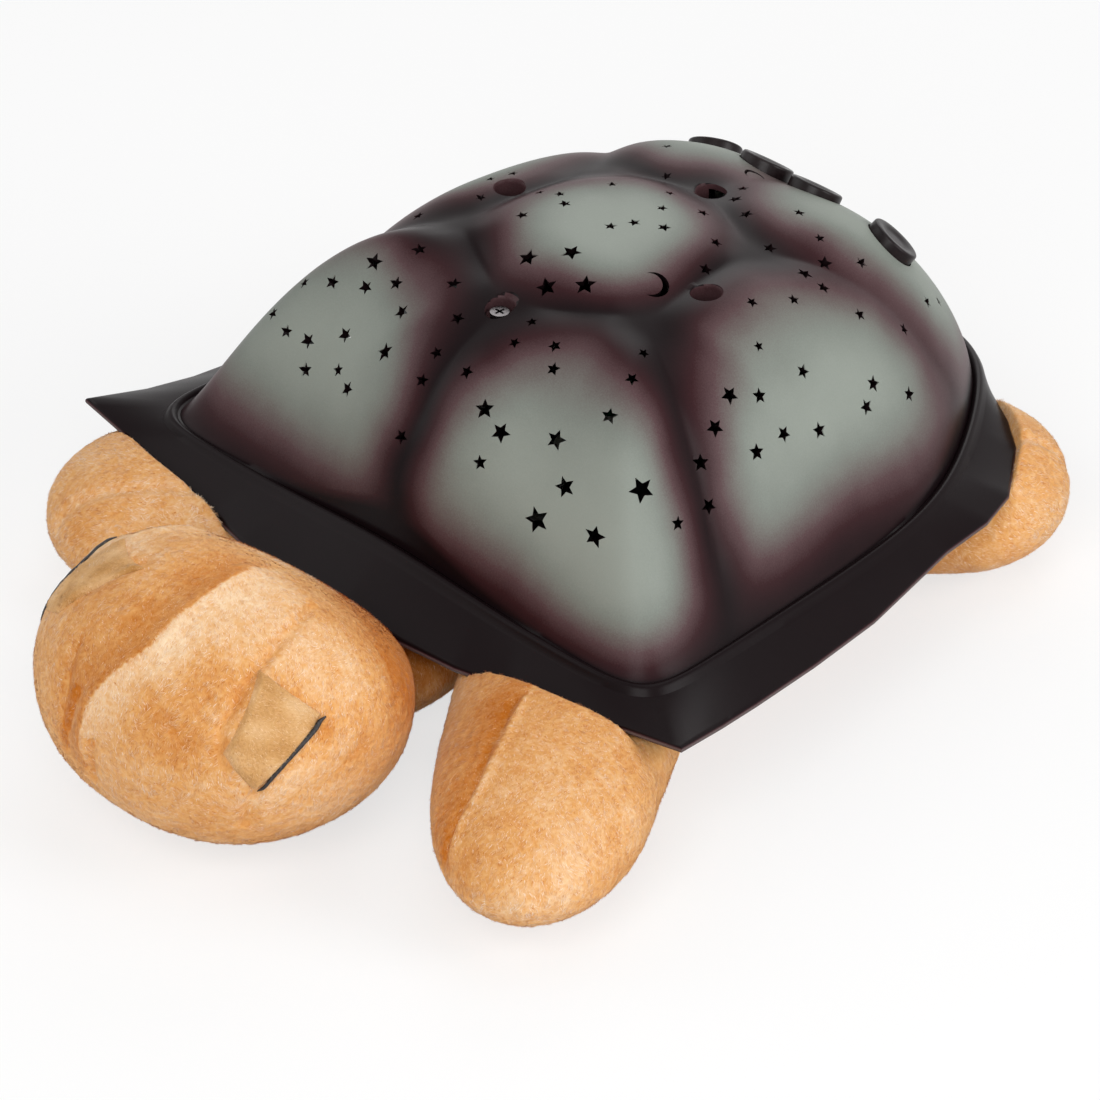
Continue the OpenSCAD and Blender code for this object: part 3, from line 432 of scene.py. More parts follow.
@dataclass(frozen=True)
class DomeShape:
    """The hard shell's dome and skirt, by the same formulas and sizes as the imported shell."""

    rim_z: float = 45.0
    dome_h: float = 75.0
    wall: float = 2.0
    crease_depth: float = 5.0
    crease_w: float = 8.5
    crease_power: float = 1.4
    crease_fade: float = 0.12
    # Powers of the height profile at the front, the rear and the sides, and what the corners in front and
    # behind add to them.
    powers_a: Triple = (2.8, 3.2, 4.4)
    powers_b: Triple = (0.5, 0.9, 1.4)
    corners_a: Pair = (-0.2, -0.5)
    corners_b: Pair = (0.3, -0.5)
    neck_arch: float = 3.0
    arch_w: float = 38.0
    arch_from: float = 40.0
    arch_run: float = 45.0
    bead_w: float = 3.4
    bead_h: float = 1.4
    rim_power: float = 12.0
    room_gap: float = 0.4
    room_low: float = 37.2
    room_high: float = 49.0
    room_out: float = 0.7
    room_run: float = 15.0
    faces: tuple[Pair, ...] = (
        (-90, 85), (5, 95.5), (175, 95.5), (36, 102.5), (144, 102.5), (90, 117))
    corners: tuple[Pair, ...] = (
        (0, -42.3), (40.4, -24), (34, 29), (0, 42.3), (-34, 29), (-40.4, -24))
    seam_ends: tuple[float, ...] = (-90, -25, 47, 90, 133, -155)
    seam_depths: tuple[Pair, ...] = (
        (1, 0.35), (1, 0.15), (1, 0.2), (0.35, 0.35), (1, 0.2), (1, 0.15))
    half_edge: tuple[Triple, ...] = (
        (0, -104.5, 36), (24, -104, 35.5), (45, -102.5, 36), (62, -99, 36.5), (85, -96.5, 38),
        (104, -93.5, 40.5), (125, -92, 43.5), (121, -72, 40), (118.5, -56, 38.5), (115.5, -30, 38),
        (111.5, -2, 38), (105, 23, 38), (101.5, 38, 38.5), (99.5, 56.5, 39), (94, 71.5, 39),
        (77, 92.5, 38.5), (65, 101.5, 38.5), (42, 114.5, 38.5), (21, 124, 38.5), (0, 127, 38.5))

    def rim_r(self, az: Array) -> Array:
        """Distance of the rim from the middle: a power mean of six straight sides.

        Args:
            az: Directions in degrees.

        Returns:
            Distances in the shape of az.
        """
        f = np.array(self.faces, float)
        c = np.cos(np.radians(np.asarray(az, float)[..., None] - f[:, 0])) / f[:, 1]
        return (np.clip(c, 0, None) ** self.rim_power).sum(-1) ** (-1 / self.rim_power)

    def powers(self, az: Array) -> tuple[Array, Array]:
        """The two powers of the height profile h (1 - t^a)^b in a direction, blended round the dome.

        Args:
            az: Directions in degrees.

        Returns:
            The powers a and b in each direction.
        """
        s, c = np.sin(np.radians(az)), np.sin(np.radians(2 * np.asarray(az))) ** 2
        f, r = np.clip(-s, 0, None) ** 2, np.clip(s, 0, None) ** 2
        a, b = (f * front + r * rear + (1 - f - r) * side + np.where(s < 0, c * fore, c * aft)
                for (front, rear, side), (fore, aft) in ((self.powers_a, self.corners_a),
                                                         (self.powers_b, self.corners_b)))
        return a, b

    def seams(self) -> list[tuple[Array, Array, float, float]]:
        """The seams in plan: start, end, and the share of the depth at each.

        They are the six sides of the middle scute and one line from each of its corners out to the rim.

        Returns:
            For each seam its start, its end, and the share of the depth at both.
        """
        c = np.array(self.corners, float)
        out = []
        for i, (end, depth) in enumerate(zip(self.seam_ends, self.seam_depths)):
            a = math.radians(end)
            rim = float(self.rim_r(end)) * np.array([math.cos(a), math.sin(a)])
            out += [(c[i], c[(i + 1) % 6], 1.0, 1.0), (c[i], rim, *depth)]
        return out

    def valley(self, xy: Array) -> Array:
        """How deep a place lies in the valleys: 1 less the product over the seams of 1 - depth e^-(d/width)^1.4.

        Args:
            xy: (n, 2) places in plan.

        Returns:
            (n,) depths from 0 to 1.
        """
        keep = np.ones(len(xy))
        for a, b, first, last in self.seams():
            d, share = foot_on(xy, a, b)
            keep *= 1 - mix(first, last, share) * np.exp(-((d / self.crease_w) ** self.crease_power))
        return 1 - keep

    def arch(self, xy: Array) -> Array:
        """Rise of the rim over the neck: a bell across, growing towards the front."""
        front = np.clip((-xy[:, 1] - self.arch_from) / self.arch_run, 0, 1) ** 2
        return self.neck_arch * np.exp(-((xy[:, 0] / self.arch_w) ** 2)) * front

    def point(self, az: Array, t: Array, creased: bool = True, inset: float = 0) -> Array:
        """Points of the dome in the direction az at the share t of the way out to the rim.

        The height is h (1 - t^a)^b, and the valleys pull a point towards the lamp at the middle of the rim.

        Args:
            az: Directions in degrees.
            t: Shares from 0 at the top to 1 at the rim.
            creased: False for the dome without valleys.
            inset: Depth under the outside.

        Returns:
            (n, 3) points.
        """
        az, t = np.broadcast_arrays(np.asarray(az, float).ravel(), np.asarray(t, float))
        r, (a, b) = self.rim_r(az) * t, self.powers(az)
        base = polar(r, az, self.dome_h * np.clip(1 - t ** a, 0, None) ** b)
        dip = np.zeros(len(base))
        if creased:
            dip = self.crease_depth * self.valley(base[:, :2]) * np.clip((1 - t) / self.crease_fade, 0, 1)
        moved = base * (1 - (dip + inset) / np.maximum(np.linalg.norm(base, axis=1), 1e-9))[:, None]
        moved[:, 2] += self.rim_z + self.arch(moved)
        return moved

    def over(self, x: Array, y: Array, creased: bool = True) -> Array:
        """The dome above places in plan."""
        az, r = np.degrees(np.arctan2(y, x)), np.hypot(x, y)
        return self.point(az, r / self.rim_r(az), creased)

    def normal(self, x: float, y: float) -> Array:
        """Outward normal of the smooth dome above a place: the cross product of its slopes along X and Y.

        Args:
            x: Place along X.
            y: Place along Y.

        Returns:
            (3,) direction.
        """
        xs, ys = np.array([x + 1, x - 1, x, x], float), np.array([y, y, y + 1, y - 1], float)
        p = self.over(xs, ys, False)
        return unit(np.cross(p[0] - p[1], p[2] - p[3]))

    def out(self, az: Array, out: float, up: float) -> Array:
        """Points a given way outside and above the rim.

        Args:
            az: Directions in degrees.
            out: Way outside the rim.
            up: Way above the rim.

        Returns:
            (n, 3) points.
        """
        p = polar(self.rim_r(az) + out, az, self.rim_z + up)
        p[:, 2] += self.arch(p)
        return p

    def edge(self, widest: float) -> Array:
        """The skirt's outer edge, split until no side spans more than the widest angle in degrees.

        Args:
            widest: Widest angle between two points, in degrees.

        Returns:
            (n, 3) points.
        """
        half = np.array(self.half_edge, float)
        line = np.concatenate([half, half[-2:0:-1] * [-1, 1, 1]])
        points = []
        for p, q in zip(line, np.roll(line, -1, axis=0)):
            turn = math.degrees(math.acos(np.clip(unit(p[:2]) @ unit(q[:2]), -1, 1)))
            n = max(1, math.ceil(turn / widest))
            points += [mix(p, q, k / n) for k in range(n)]
        return np.array(points)

    def edge_over(self, x: Array, y: Array) -> tuple[Array, Array]:
        """How far places in plan lie outside the skirt's edge, and the edge's height in their directions.

        Args:
            x: Places along X.
            y: Places along Y.

        Returns:
            (n,) ways outside the edge, below 0 inside it, and (n,) heights.
        """
        edge = self.edge(1.0)
        az = azimuth(edge)
        order = np.argsort(az)
        at = np.degrees(np.arctan2(y, x))
        reach = np.interp(at, az[order], np.hypot(edge[:, 0], edge[:, 1])[order], period=360)
        return np.hypot(x, y) - reach, np.interp(at, az[order], edge[order, 2], period=360)

    def head_room(self, p: Array) -> Array:
        """Height left for the plush: just below the skirt's underside, then a quarter ellipse outside its edge.

        Args:
            p: (n, 3) points in millimetres.

        Returns:
            (n,) heights that the plush may reach.
        """
        out, height = self.edge_over(p[:, 0], p[:, 1])
        low = np.minimum(height - self.wall - self.room_gap, self.room_low)
        u = np.clip((out - self.room_out) / self.room_run, 0, 1)
        return low + (self.room_high - low) * np.sqrt(1 - (1 - u) ** 2)

    def depth(self, points: Array) -> Array:
        """How far points lie under the outside, measured towards the lamp, by halving the share t.

        Args:
            points: (n, 3) points in millimetres.

        Returns:
            (n,) depths, below 0 outside.
        """
        q = points - [0, 0, self.rim_z]
        q[:, 2] -= self.arch(points)
        az, far = azimuth(q), np.linalg.norm(q, axis=1)
        r, (a, b) = self.rim_r(az), self.powers(az)
        steep = q[:, 2] / np.maximum(np.hypot(q[:, 0], q[:, 1]), 1e-9)
        low, high = np.zeros(len(q)), np.ones(len(q))
        for _ in range(HALVINGS):
            t = (low + high) / 2
            above = self.dome_h * np.clip(1 - t ** a, 0, None) ** b > steep * r * t
            low, high = np.where(above, t, low), np.where(above, high, t)
        outer = self.point(az, t) - [0, 0, self.rim_z]
        outer[:, 2] -= self.arch(outer)
        return np.linalg.norm(outer, axis=1) - far

    def reach(self, az: float, el: float, creased: bool = True) -> float:
        """Distance from the lamp to the dome in a direction, by halving the share t.

        Args:
            az: Direction in plan, in degrees.
            el: Height over the rim's plane, in degrees.
            creased: False for the dome without valleys.

        Returns:
            The distance in millimetres.
        """
        low, high = 0.0, 1.0
        for _ in range(HALVINGS):
            t = (low + high) / 2
            p = self.point(np.array([az]), t, creased)[0] - [0, 0, self.rim_z]
            low, high = (t, high) if math.degrees(math.atan2(p[2], math.hypot(p[0], p[1]))) > el else (low, t)
        return float(np.linalg.norm(p))


DOME = DomeShape()


def towards(az: float, el: float) -> Array:
    """The turn whose third column points from the lamp in a direction: about Y, then about Z.

    Args:
        az: Direction in plan, in degrees.
        el: Height over the level, in degrees.

    Returns:
        (3, 3) turn.
    """
    a, c = math.radians(az), math.radians(90 - el)
    return np.array([[math.cos(a) * math.cos(c), -math.sin(a), math.cos(a) * math.sin(c)],
                     [math.sin(a) * math.cos(c), math.cos(a), math.sin(a) * math.sin(c)],
                     [-math.sin(c), 0, math.cos(c)]])


# ---------------------------------------------------------------- finishes


def linear(colour: str) -> Colour:
    """Turns an sRGB hex colour such as "#8a9088" into Blender's linear numbers."""
    parts = [int(colour[i:i + 2], 16) / 255 for i in (1, 3, 5)]
    return (*[c / 12.92 if c <= 0.04045 else ((c + 0.055) / 1.055) ** 2.4 for c in parts], 1.0)


def mixed_hex(a: str, b: str, t: float) -> Colour:
    """The linear colour the share t of the way from one sRGB colour to another."""
    return tuple(mix(x, y, t) for x, y in zip(linear(a), linear(b)))


def per_mm(size: float) -> float:
    """Scale of a noise or wave pattern on Object coordinates whose features are size millimetres apart."""
    return 1 / (size * MM)


def feed(tree: Tree, node: bpy.types.Node, name: str | int, value: object) -> None:
    """Sets a node's input to a value, or links it to the output that feeds it.

    Args:
        tree: The node tree.
        node: The node.
        name: Name or number of the input.
        value: A value, or an output of another node.
    """
    if isinstance(value, Socket):
        tree.links.new(value, node.inputs[name])
    else:
        node.inputs[name].default_value = value


def add(tree: Tree, kind: str, links: Optional[dict] = None, stops: Sequence[tuple[float, str]] = (),
        **settings: object) -> bpy.types.Node:
    """Adds one node.

    Args:
        tree: The material's or world's node tree.
        kind: Blender's name of the node.
        links: For each input, by name or number, a value or the output that feeds it.
        stops: Places and sRGB colours of a colour ramp.
        settings: The node's own properties.

    Returns:
        The node.
    """
    node = tree.nodes.new(kind)
    for name, value in settings.items():
        setattr(node, name, value)
    for name, value in (links or {}).items():
        feed(tree, node, name, value)
    for i, (place, colour) in enumerate(stops):
        ramp = node.color_ramp.elements
        stop = ramp[i] if i < len(ramp) else ramp.new(place)
        stop.position, stop.color = place, linear(colour)
    return node


def maths(tree: Tree, operation: str, *values: Socket | float, clamp: bool = False) -> Socket:
    """Adds a node that reckons with its inputs in order, and gives its output."""
    return add(tree, "ShaderNodeMath", dict(enumerate(values)), operation=operation, use_clamp=clamp).outputs[0]


@dataclass(frozen=True)
class Nodes:
    """A material's nodes in the making: the tree, its shader and the place that patterns are drawn on."""

    tree: Tree
    shader: bpy.types.Node
    place: Socket

    def set(self, **values: object) -> None:
        """Sets or links inputs of the shader. An underscore in a name stands for a space."""
        for name, value in values.items():
            feed(self.tree, self.shader, name.replace("_", " "), value)

    def noise(self, size: float, detail: float = 2.0, roughness: float = 0.5) -> Socket:
        """Noise whose features are size millimetres apart."""
        return add(self.tree, "ShaderNodeTexNoise", {"Vector": self.place, "Scale": per_mm(size), "Detail": detail,
                                                     "Roughness": roughness}).outputs["Fac"]

    def maths(self, operation: str, *values: Socket | float, clamp: bool = False) -> Socket:
        """Reckons with the values in order."""
        return maths(self.tree, operation, *values, clamp=clamp)

    def attribute(self, name: str) -> Socket:
        """A number that the mesh carries."""
        return add(self.tree, "ShaderNodeAttribute", attribute_name=name).outputs["Fac"]

    def spread(self, value: Socket, low: float, high: float) -> Socket:
        """Stretches a value from 0 to 1 over the range from low to high."""
        return add(self.tree, "ShaderNodeMapRange", {"Value": value, "To Min": low, "To Max": high}).outputs[0]

    def colour(self, value: Socket, *stops: tuple[float, str]) -> None:
        """Feeds the base colour from a ramp of sRGB stops."""
        self.set(Base_Color=add(self.tree, "ShaderNodeValToRGB", {"Fac": value}, stops=stops).outputs["Color"])

    def bump(self, height: Socket, strength: float, distance_mm: float) -> None:
        """Feeds the normal from a height."""
        self.set(Normal=add(self.tree, "ShaderNodeBump", {"Strength": strength, "Distance": distance_mm * MM,
                                                          "Height": height}).outputs["Normal"])


@dataclass(frozen=True)
class Finish:
    """A material: its name and the numbers that are the same all over it."""

    name: str
    roughness: float = 0.5
    ior: float = 1.5
    level: float = 0.5

    def make(self) -> bpy.types.Material:
        """Builds the Blender material, once for each name.

        Returns:
            The material.
        """
        found = bpy.data.materials.get(self.name)
        if found:
            return found
        material = bpy.data.materials.new(self.name)
        material.use_nodes = True
        tree = material.node_tree
        nodes = Nodes(tree, tree.nodes["Principled BSDF"], add(tree, "ShaderNodeTexCoord").outputs["Object"])
        nodes.set(Roughness=self.roughness, IOR=self.ior, Specular_IOR_Level=self.level)
        self.dress(nodes)
        return material

    def dress(self, nodes: Nodes) -> None:
        """Adds the pattern nodes. Each finish has its own."""
        raise NotImplementedError

    def on(self, obj: Object) -> Object:
        """Puts the finish on every part of an object.

        Args:
            obj: The object.

        Returns:
            The same object.
        """
        material = self.make()
        if obj.material_slots:
            for slot in obj.material_slots:
                slot.material = material
        else:
            obj.data.materials.append(material)
        return obj


@dataclass(frozen=True)
class SprayedShell(Finish):
    """Moulded ABS with an airbrushed matt lacquer: grey-green scutes that fade through plum to near-black seams.

    The eye gets soft spray edges, a fine speckle of the spray, and a gloss that is higher on the bare skirt.
    """

    roughness: float = 0.3
    ior: float = 1.53
    level: float = 0.06
    speckle_mm: float = 0.45
    cloud_mm: float = 14.0

    def dress(self, nodes: Nodes) -> None:
        """Reads the spray attribute: 0 in a scute's middle, 1 in a seam and on the skirt, with a painted highlight on
        the skirt's edge and painted light in the screw wells.

        Args:
            nodes: The material's nodes in the making.
        """
        spray = nodes.attribute("spray")
        cloud, grain = nodes.noise(self.cloud_mm, 3.0), nodes.noise(self.speckle_mm, 2.0, 0.7)
        wander = nodes.maths("MULTIPLY_ADD", cloud, 0.16, -0.08)
        fleck = nodes.maths("MULTIPLY_ADD", grain, 0.2, -0.1)
        # Neither the middle nor the bare plastic is shifted, so the shift fades towards both ends.
        room = nodes.maths("MULTIPLY", spray, nodes.maths("SUBTRACT", 1.0, spray))
        scale = nodes.maths("MULTIPLY_ADD", room, 3.2, 0.2)
        tone = nodes.maths("MULTIPLY_ADD", nodes.maths("ADD", wander, fleck), scale, spray, clamp=True)
        nodes.colour(tone, (0.0, "#90968e"), (0.14, "#7b8079"), (0.32, "#665f5c"), (0.5, "#533f41"),
                     (0.74, "#331c1f"), (1.0, "#130b0d"))
        nodes.set(Roughness=nodes.maths("MULTIPLY_ADD", grain, 0.12, nodes.spread(spray, 0.4, 0.24)))
        nodes.bump(grain, 0.12, 0.1)


@dataclass(frozen=True)
class MouldedPlastic(Finish):
    """Injection-moulded plastic straight from a spark-eroded tool: an even colour with a faint orange peel."""

    colour: str = "#1d191a"
    dark: str = "#141112"
    grain_mm: float = 0.8
    cloud_mm: float = 9.0
    bump: float = 0.1

    def dress(self, nodes: Nodes) -> None:
        """Fine grain in height, roughness and colour, and slow clouds where the melt cooled unevenly.

        Args:
            nodes: The material's nodes in the making.
        """
        grain, cloud = nodes.noise(self.grain_mm, 3.0), nodes.noise(self.cloud_mm)
        nodes.colour(nodes.maths("MULTIPLY", grain, cloud), (0.12, self.dark), (0.42, self.colour))
        nodes.set(Roughness=nodes.spread(grain, self.roughness - 0.06, self.roughness + 0.1))
        nodes.bump(grain, self.bump, 0.15)


@dataclass(frozen=True)
class PlatedSteel(Finish):
    """Zinc-plated steel, rolled or cold-headed: a grey mirror broken by fine draw marks."""

    roughness: float = 0.28
    mark_mm: float = 0.5
    dark: str = "#a5a6a8"
    bright: str = "#cfd0d1"

    def dress(self, nodes: Nodes) -> None:
        """Metal all over, with roughness and a little tone from fine noise.

        Args:
            nodes: The material's nodes in the making.
        """
        nodes.set(Metallic=1.0)
        marks = nodes.noise(self.mark_mm, 4.0)
        nodes.colour(marks, (0.3, self.dark), (0.7, self.bright))
        nodes.set(Roughness=nodes.spread(marks, 0.2, 0.42))


@dataclass(frozen=True)
class CircuitBoard(Finish):
    """Glass-epoxy board under green solder mask: a waxy sheen with paler copper lines below it."""

    roughness: float = 0.35
    track_mm: float = 2.5

    def dress(self, nodes: Nodes) -> None:
        """Tracks from a brick pattern, with the mask a little lighter over copper.

        Args:
            nodes: The material's nodes in the making.
        """
        track = add(nodes.tree, "ShaderNodeTexBrick", {
            "Vector": nodes.place, "Scale": per_mm(self.track_mm * 2), "Mortar Size": 0.06,
            "Color1": linear("#14532f"), "Color2": linear("#12492a"), "Mortar": linear("#1f7a45")}).outputs
        nodes.set(Base_Color=track["Color"])
        nodes.bump(track["Fac"], 0.3, 0.05)


@dataclass(frozen=True)
class LedLens(Finish):
    """Tinted clear epoxy of a lamp chip's lens: it lets light through and keeps a bright edge."""

    roughness: float = 0.12
    colour: str = "#ffb347"

    def dress(self, nodes: Nodes) -> None:
        """A tinted, mostly see-through body with slow variation of the tint.

        Args:
            nodes: The material's nodes in the making.
        """
        # Socket 0 is the share and 6 and 7 are the two colours. The second is a third of the way to white.
        tint = add(nodes.tree, "ShaderNodeMix", {0: nodes.noise(2.0), 6: linear(self.colour),
                                                 7: mixed_hex(self.colour, "#ffffff", 0.33)}, data_type="RGBA")
        nodes.set(Transmission_Weight=0.6, Base_Color=tint.outputs[2])


@dataclass(frozen=True)
class Velour(Finish):
    """Polyester velour: a knitted back that shows between short upright fibres.

    The eye gets a deep orange where the tone is low, a peach where it is high, and a soft sheen.
    """

    roughness: float = 0.95
    level: float = 0.15
    tuft_mm: float = 1.3
    light: str = "#f3d7b2"
    mid: str = "#dfa463"
    deep: str = "#c06a0c"

    def dress(self, nodes: Nodes) -> None:
        """Reads the nap attribute, 0 deep to 1 light, with its painted shade and highlights, and breaks it up with
        tufts of fibre size.

        Args:
            nodes: The material's nodes in the making.
        """
        tuft = nodes.noise(self.tuft_mm, 4.0, 0.65)
        tone = nodes.maths("SUBTRACT", nodes.maths("MULTIPLY_ADD", tuft, 0.7, nodes.attribute("nap")), 0.35)
        nodes.colour(tone, (0.0, self.deep), (0.5, self.mid), (1.0, self.light))
        nodes.set(Sheen_Weight=0.35, Sheen_Roughness=0.45, Sheen_Tint=linear("#ffdcae"))
        nodes.bump(tuft, 0.6, 0.6)


@dataclass(frozen=True)
class PileFibre(Finish):
    """Single polyester fibres of the pile, drawn several times their real 0.03 mm so that they show."""

    roughness: float = 0.75
    level: float = 0.15
    deep: str = "#c66e0e"
    mid: str = "#e6b37d"
    light: str = "#fae6ce"

    def dress(self, nodes: Nodes) -> None:
        """The fibre's own map: across is its tone, along runs from the darker root to the paler tip, a painted shade
        deep in the pile.

        Args:
            nodes: The material's nodes in the making.
        """
        uv = add(nodes.tree, "ShaderNodeUVMap", uv_map=PILE_MAP).outputs["UV"]
        spot = add(nodes.tree, "ShaderNodeSeparateXYZ", {0: uv}).outputs
        # Darker at the root and paler at the tip: painted shade deep in the pile.
        tip = nodes.maths("MULTIPLY_ADD", spot["Y"], 0.3, -0.15)
        nodes.colour(nodes.maths("ADD", spot["X"], tip), (0.0, self.deep), (0.5, self.mid), (1.0, self.light))
        nodes.set(Sheen_Weight=0.2, Sheen_Roughness=0.5)


@dataclass(frozen=True)
class WovenTape(Finish):
    """A woven or hooked tape: fine crossing threads that catch the light in rows."""

    roughness: float = 0.85
    thread_mm: float = 0.9
    turn: float = 6.28
    colour: str = "#2b2a2c"
    light: str = "#4a484b"

    def dress(self, nodes: Nodes) -> None:
        """Two crossed waves give height and tone.

        Args:
            nodes: The material's nodes in the making.
        """
        wave = {"Vector": nodes.place, "Scale": per_mm(self.thread_mm) / self.turn}
        across, along = (add(nodes.tree, "ShaderNodeTexWave", wave, bands_direction=way).outputs["Fac"] for way in "XY")
        both = nodes.maths("MULTIPLY", across, along)
        nodes.colour(both, (0.0, self.colour), (1.0, self.light))
        nodes.bump(both, 0.7, 0.3)


PILE_MAP = "OFBake"
WHITE: Colour = (1, 1, 1, 1)
SHELL_FINISH = SprayedShell("sprayed_abs")
BUTTON_FINISH = MouldedPlastic("button_abs", roughness=0.3, level=0.14, colour="#1f1617", dark="#120c0d", grain_mm=0.7)
TRAY_FINISH = MouldedPlastic("tray_abs", roughness=0.45, colour="#232024", dark="#19171a", bump=0.3)
WHITE_FINISH = MouldedPlastic("natural_abs", roughness=0.4, colour="#e2e0d6", dark="#cfccc0")
CHIP_FINISH = MouldedPlastic("epoxy_package", roughness=0.55, colour="#222223", dark="#161617", grain_mm=0.3)
STEEL_FINISH = PlatedSteel("zinc_plated_steel")
DARK_STEEL_FINISH = PlatedSteel("black_zinc_steel", dark="#4b4849", bright="#6f6b6c")
BOARD_FINISH = CircuitBoard("solder_mask_board")
SLEEVE_FINISH = MouldedPlastic("cell_sleeve", roughness=0.25, colour="#4a5560", dark="#3b444e", grain_mm=2.0)
LEAD_FINISH = MouldedPlastic("pvc_lead", roughness=0.5, colour="#8f8d88", dark="#75736f", grain_mm=0.5)
VELOUR = Velour("velour_back")
PATCH = Velour("brushed_patch", light="#e4bd8e", mid="#d0a068", deep="#ab7638", tuft_mm=0.8)
FIBRE = PileFibre("velour_pile")
PATCH_FIBRE = PileFibre("patch_pile", deep="#b37a38", mid="#d5a672", light="#efd0a6")
THREAD_FINISH = WovenTape("embroidery_thread", roughness=0.6, thread_mm=0.6, colour="#151213", light="#3a3536")
HOOK_FINISH = WovenTape("hook_tape", thread_mm=1.2)


# ---------------------------------------------------------------- shell


@dataclass
class HardShell:
    """The pierced dome with its bead, flared skirt, screw wells and star and moon holes, as one surface."""

    shape: DomeShape = DOME
    widest: float = 1.15
    dome_rings: int = 84
    inner_rings: int = 26
    skirt_rings: int = 18
    well_d: float = 8.6
    well_wall: float = 1.8
    well_floor: float = 105.612
    post_top: float = 103.812
    screw_hole: float = 3.4
    star_waist: float = 0.46
    star_turn: float = 37.0
    hole_in: float = 8.5
    hole_flare: float = 0.22
    button_hole_r: float = 8.6
    button_hole_l: float = 6.5
    cup_under: float = 0.7
    sharp: float = 32.0
    bare_depth: float = 0.15
    # Tone of the painted highlight along the skirt's edge.
    edge_highlight_tone: float = 0.42
    # Tone of the painted light on the walls of the screw wells.
    well_painted_light_tone: float = 0.66
    spray_power: float = 1.6
    rim_share: float = 0.92
    climb: float = 17.0
    # Where the spray climbs less up from the rim: direction, width in degrees, and by how much.
    climb_dips: tuple[Triple, ...] = ((-112, 35, 1.5), (-42, 18, 7))
    spray_in: float = 10.5
    spray_out: tuple[float, ...] = (18, 16.5, 11.5, 8, 9.5, 16.5)
    spray_side: tuple[float, ...] = (10.5, 11, 12, 12, 13, 13.5)
    spray_share: tuple[float, ...] = (1, 0.95, 0.6, 0.4, 0.65, 0.95)
    wells: tuple[Pair, ...] = ((0, -42.3), (40.4, 0), (0, 42.3), (-40.4, 0))
    moons: tuple[Triple, ...] = ((-19, 66, 4.4), (92, 46, 3))
    stars: tuple[Triple, ...] = (
        # middle scute
        (-101, 69.5, 3.2), (-77, 76, 3.2), (-77, 65.5, 3.2), (-56, 67.5, 3.3), (-20, 88, 2), (44, 84, 2),
        (37, 77.5, 2.1), (74, 76.5, 1.7), (132, 73, 1.7), (-175, 78, 2), (-146, 71.5, 2), (175, 74, 1.7),
        (93, 70, 1.7), (65, 68, 2), (37, 66, 2), (14, 64.5, 2.1), (180, 69, 1.7),
        # front left
        (-74, 35.5, 3), (-68.5, 32, 3), (-71.5, 25.5, 2.2), (-55, 32.5, 3), (-52, 24.5, 3),
        (-43.5, 37, 2.4), (-57, 18, 3.7), (-46, 17.5, 3), (-38, 25, 3.7), (-32, 19, 2), (-25, 20, 2.4),
        (-25, 27.5, 2.6), (-38, 43.5, 2), (-59, 46, 2.1), (-60.5, 51, 2), (-74, 50, 1.8), (-73, 56, 1.7),
        (-83, 41, 2.2), (-33.5, 49, 1.7),
        # front right
        (-139.5, 21.5, 2), (-134.5, 22, 2), (-140, 29, 1.8), (-135.5, 34, 2.2), (-130, 24, 2.4),
        (-126.5, 20, 2.4), (-124, 30.5, 2.4), (-119.5, 25, 2), (-114, 24, 2.5), (-110, 35, 3),
        (-115.5, 42.5, 2.5), (-125, 44.5, 2.2), (-129.5, 39, 2.2), (-134, 42.5, 2.8), (-132.5, 51, 2.1),
        (-112.5, 54, 2.3), (-98, 49.5, 2.1), (-95, 41.5, 1.9), (-94, 35.5, 2.1), (-92.5, 24, 2.3),
        # left
        (-14, 38, 2.8), (-6, 36, 2.4), (-20, 33, 2.7), (-11.5, 26.5, 2.6), (-3, 27.5, 2.5), (7, 24.5, 2.6),
        (9.5, 36, 2.3), (0.5, 44.5, 1.7), (22, 47.5, 1.9), (9, 52.5, 1.8), (26, 25, 2.5), (21.5, 22.5, 2.5),
        (33.5, 18, 2.3), (45.5, 44.5, 2.3), (36, 48, 2.4), (34, 44, 2.2), (35, 35.5, 2.1), (44, 25.5, 2),
        # rear left and rear right
        (51, 38, 2), (53, 46.5, 1.6), (56, 22, 2.1), (61, 18, 1.6), (63, 49.5, 1.7), (65, 58.5, 1.7),
        (78, 57.5, 1.8), (84, 53.5, 1.6), (45, 55, 1.9), (118, 50, 1.6), (128, 44, 1.6), (110, 60, 1.5),
        (126, 36, 2.2), (136, 24, 2.2), (102, 20, 1.9),
        # right
        (-167.5, 57.5, 1.6), (-180, 54.5, 1.6), (-157.5, 46.5, 1.8), (172, 56, 1.6), (-158, 30, 1.8),
        (-170, 38, 2), (175, 45, 1.8), (-166, 25, 2.4), (-176, 30, 2.4), (158, 26, 2.4), (172, 24, 2.2),
        (148, 40, 2))

    def rings(self) -> Array:
        """Rings of the whole wall, from the middle of the inside out under the skirt and back over the top.

        Returns:
            (m, n, 3) points.
        """
        s = self.shape
        edge = s.edge(self.widest)
        az = azimuth(edge)
        foot = s.out(az, s.bead_w + 0.8, -0.8)
        rings = [s.point(az, t, True, s.wall) for t in np.linspace(0.06, 0.93, self.inner_rings)]
        rings.append(s.out(az, 1 - s.wall, -1))
        rings += [mix(foot, edge, t) - [0, 0, s.wall] for t in np.linspace(0.02, 0.985, self.skirt_rings // 2)]
        # The outer edge is rounded by half a circle of the wall's thickness.
        way = unit((edge - foot) * [1, 1, 0])
        rings += [edge + way * (math.cos(a) - 0.6) + [0, 0, math.sin(a) - 1] for a in np.radians([-55, -20, 20, 55])]
        rings += [mix(foot, edge, t) for t in np.linspace(0.985, 0.02, self.skirt_rings)]
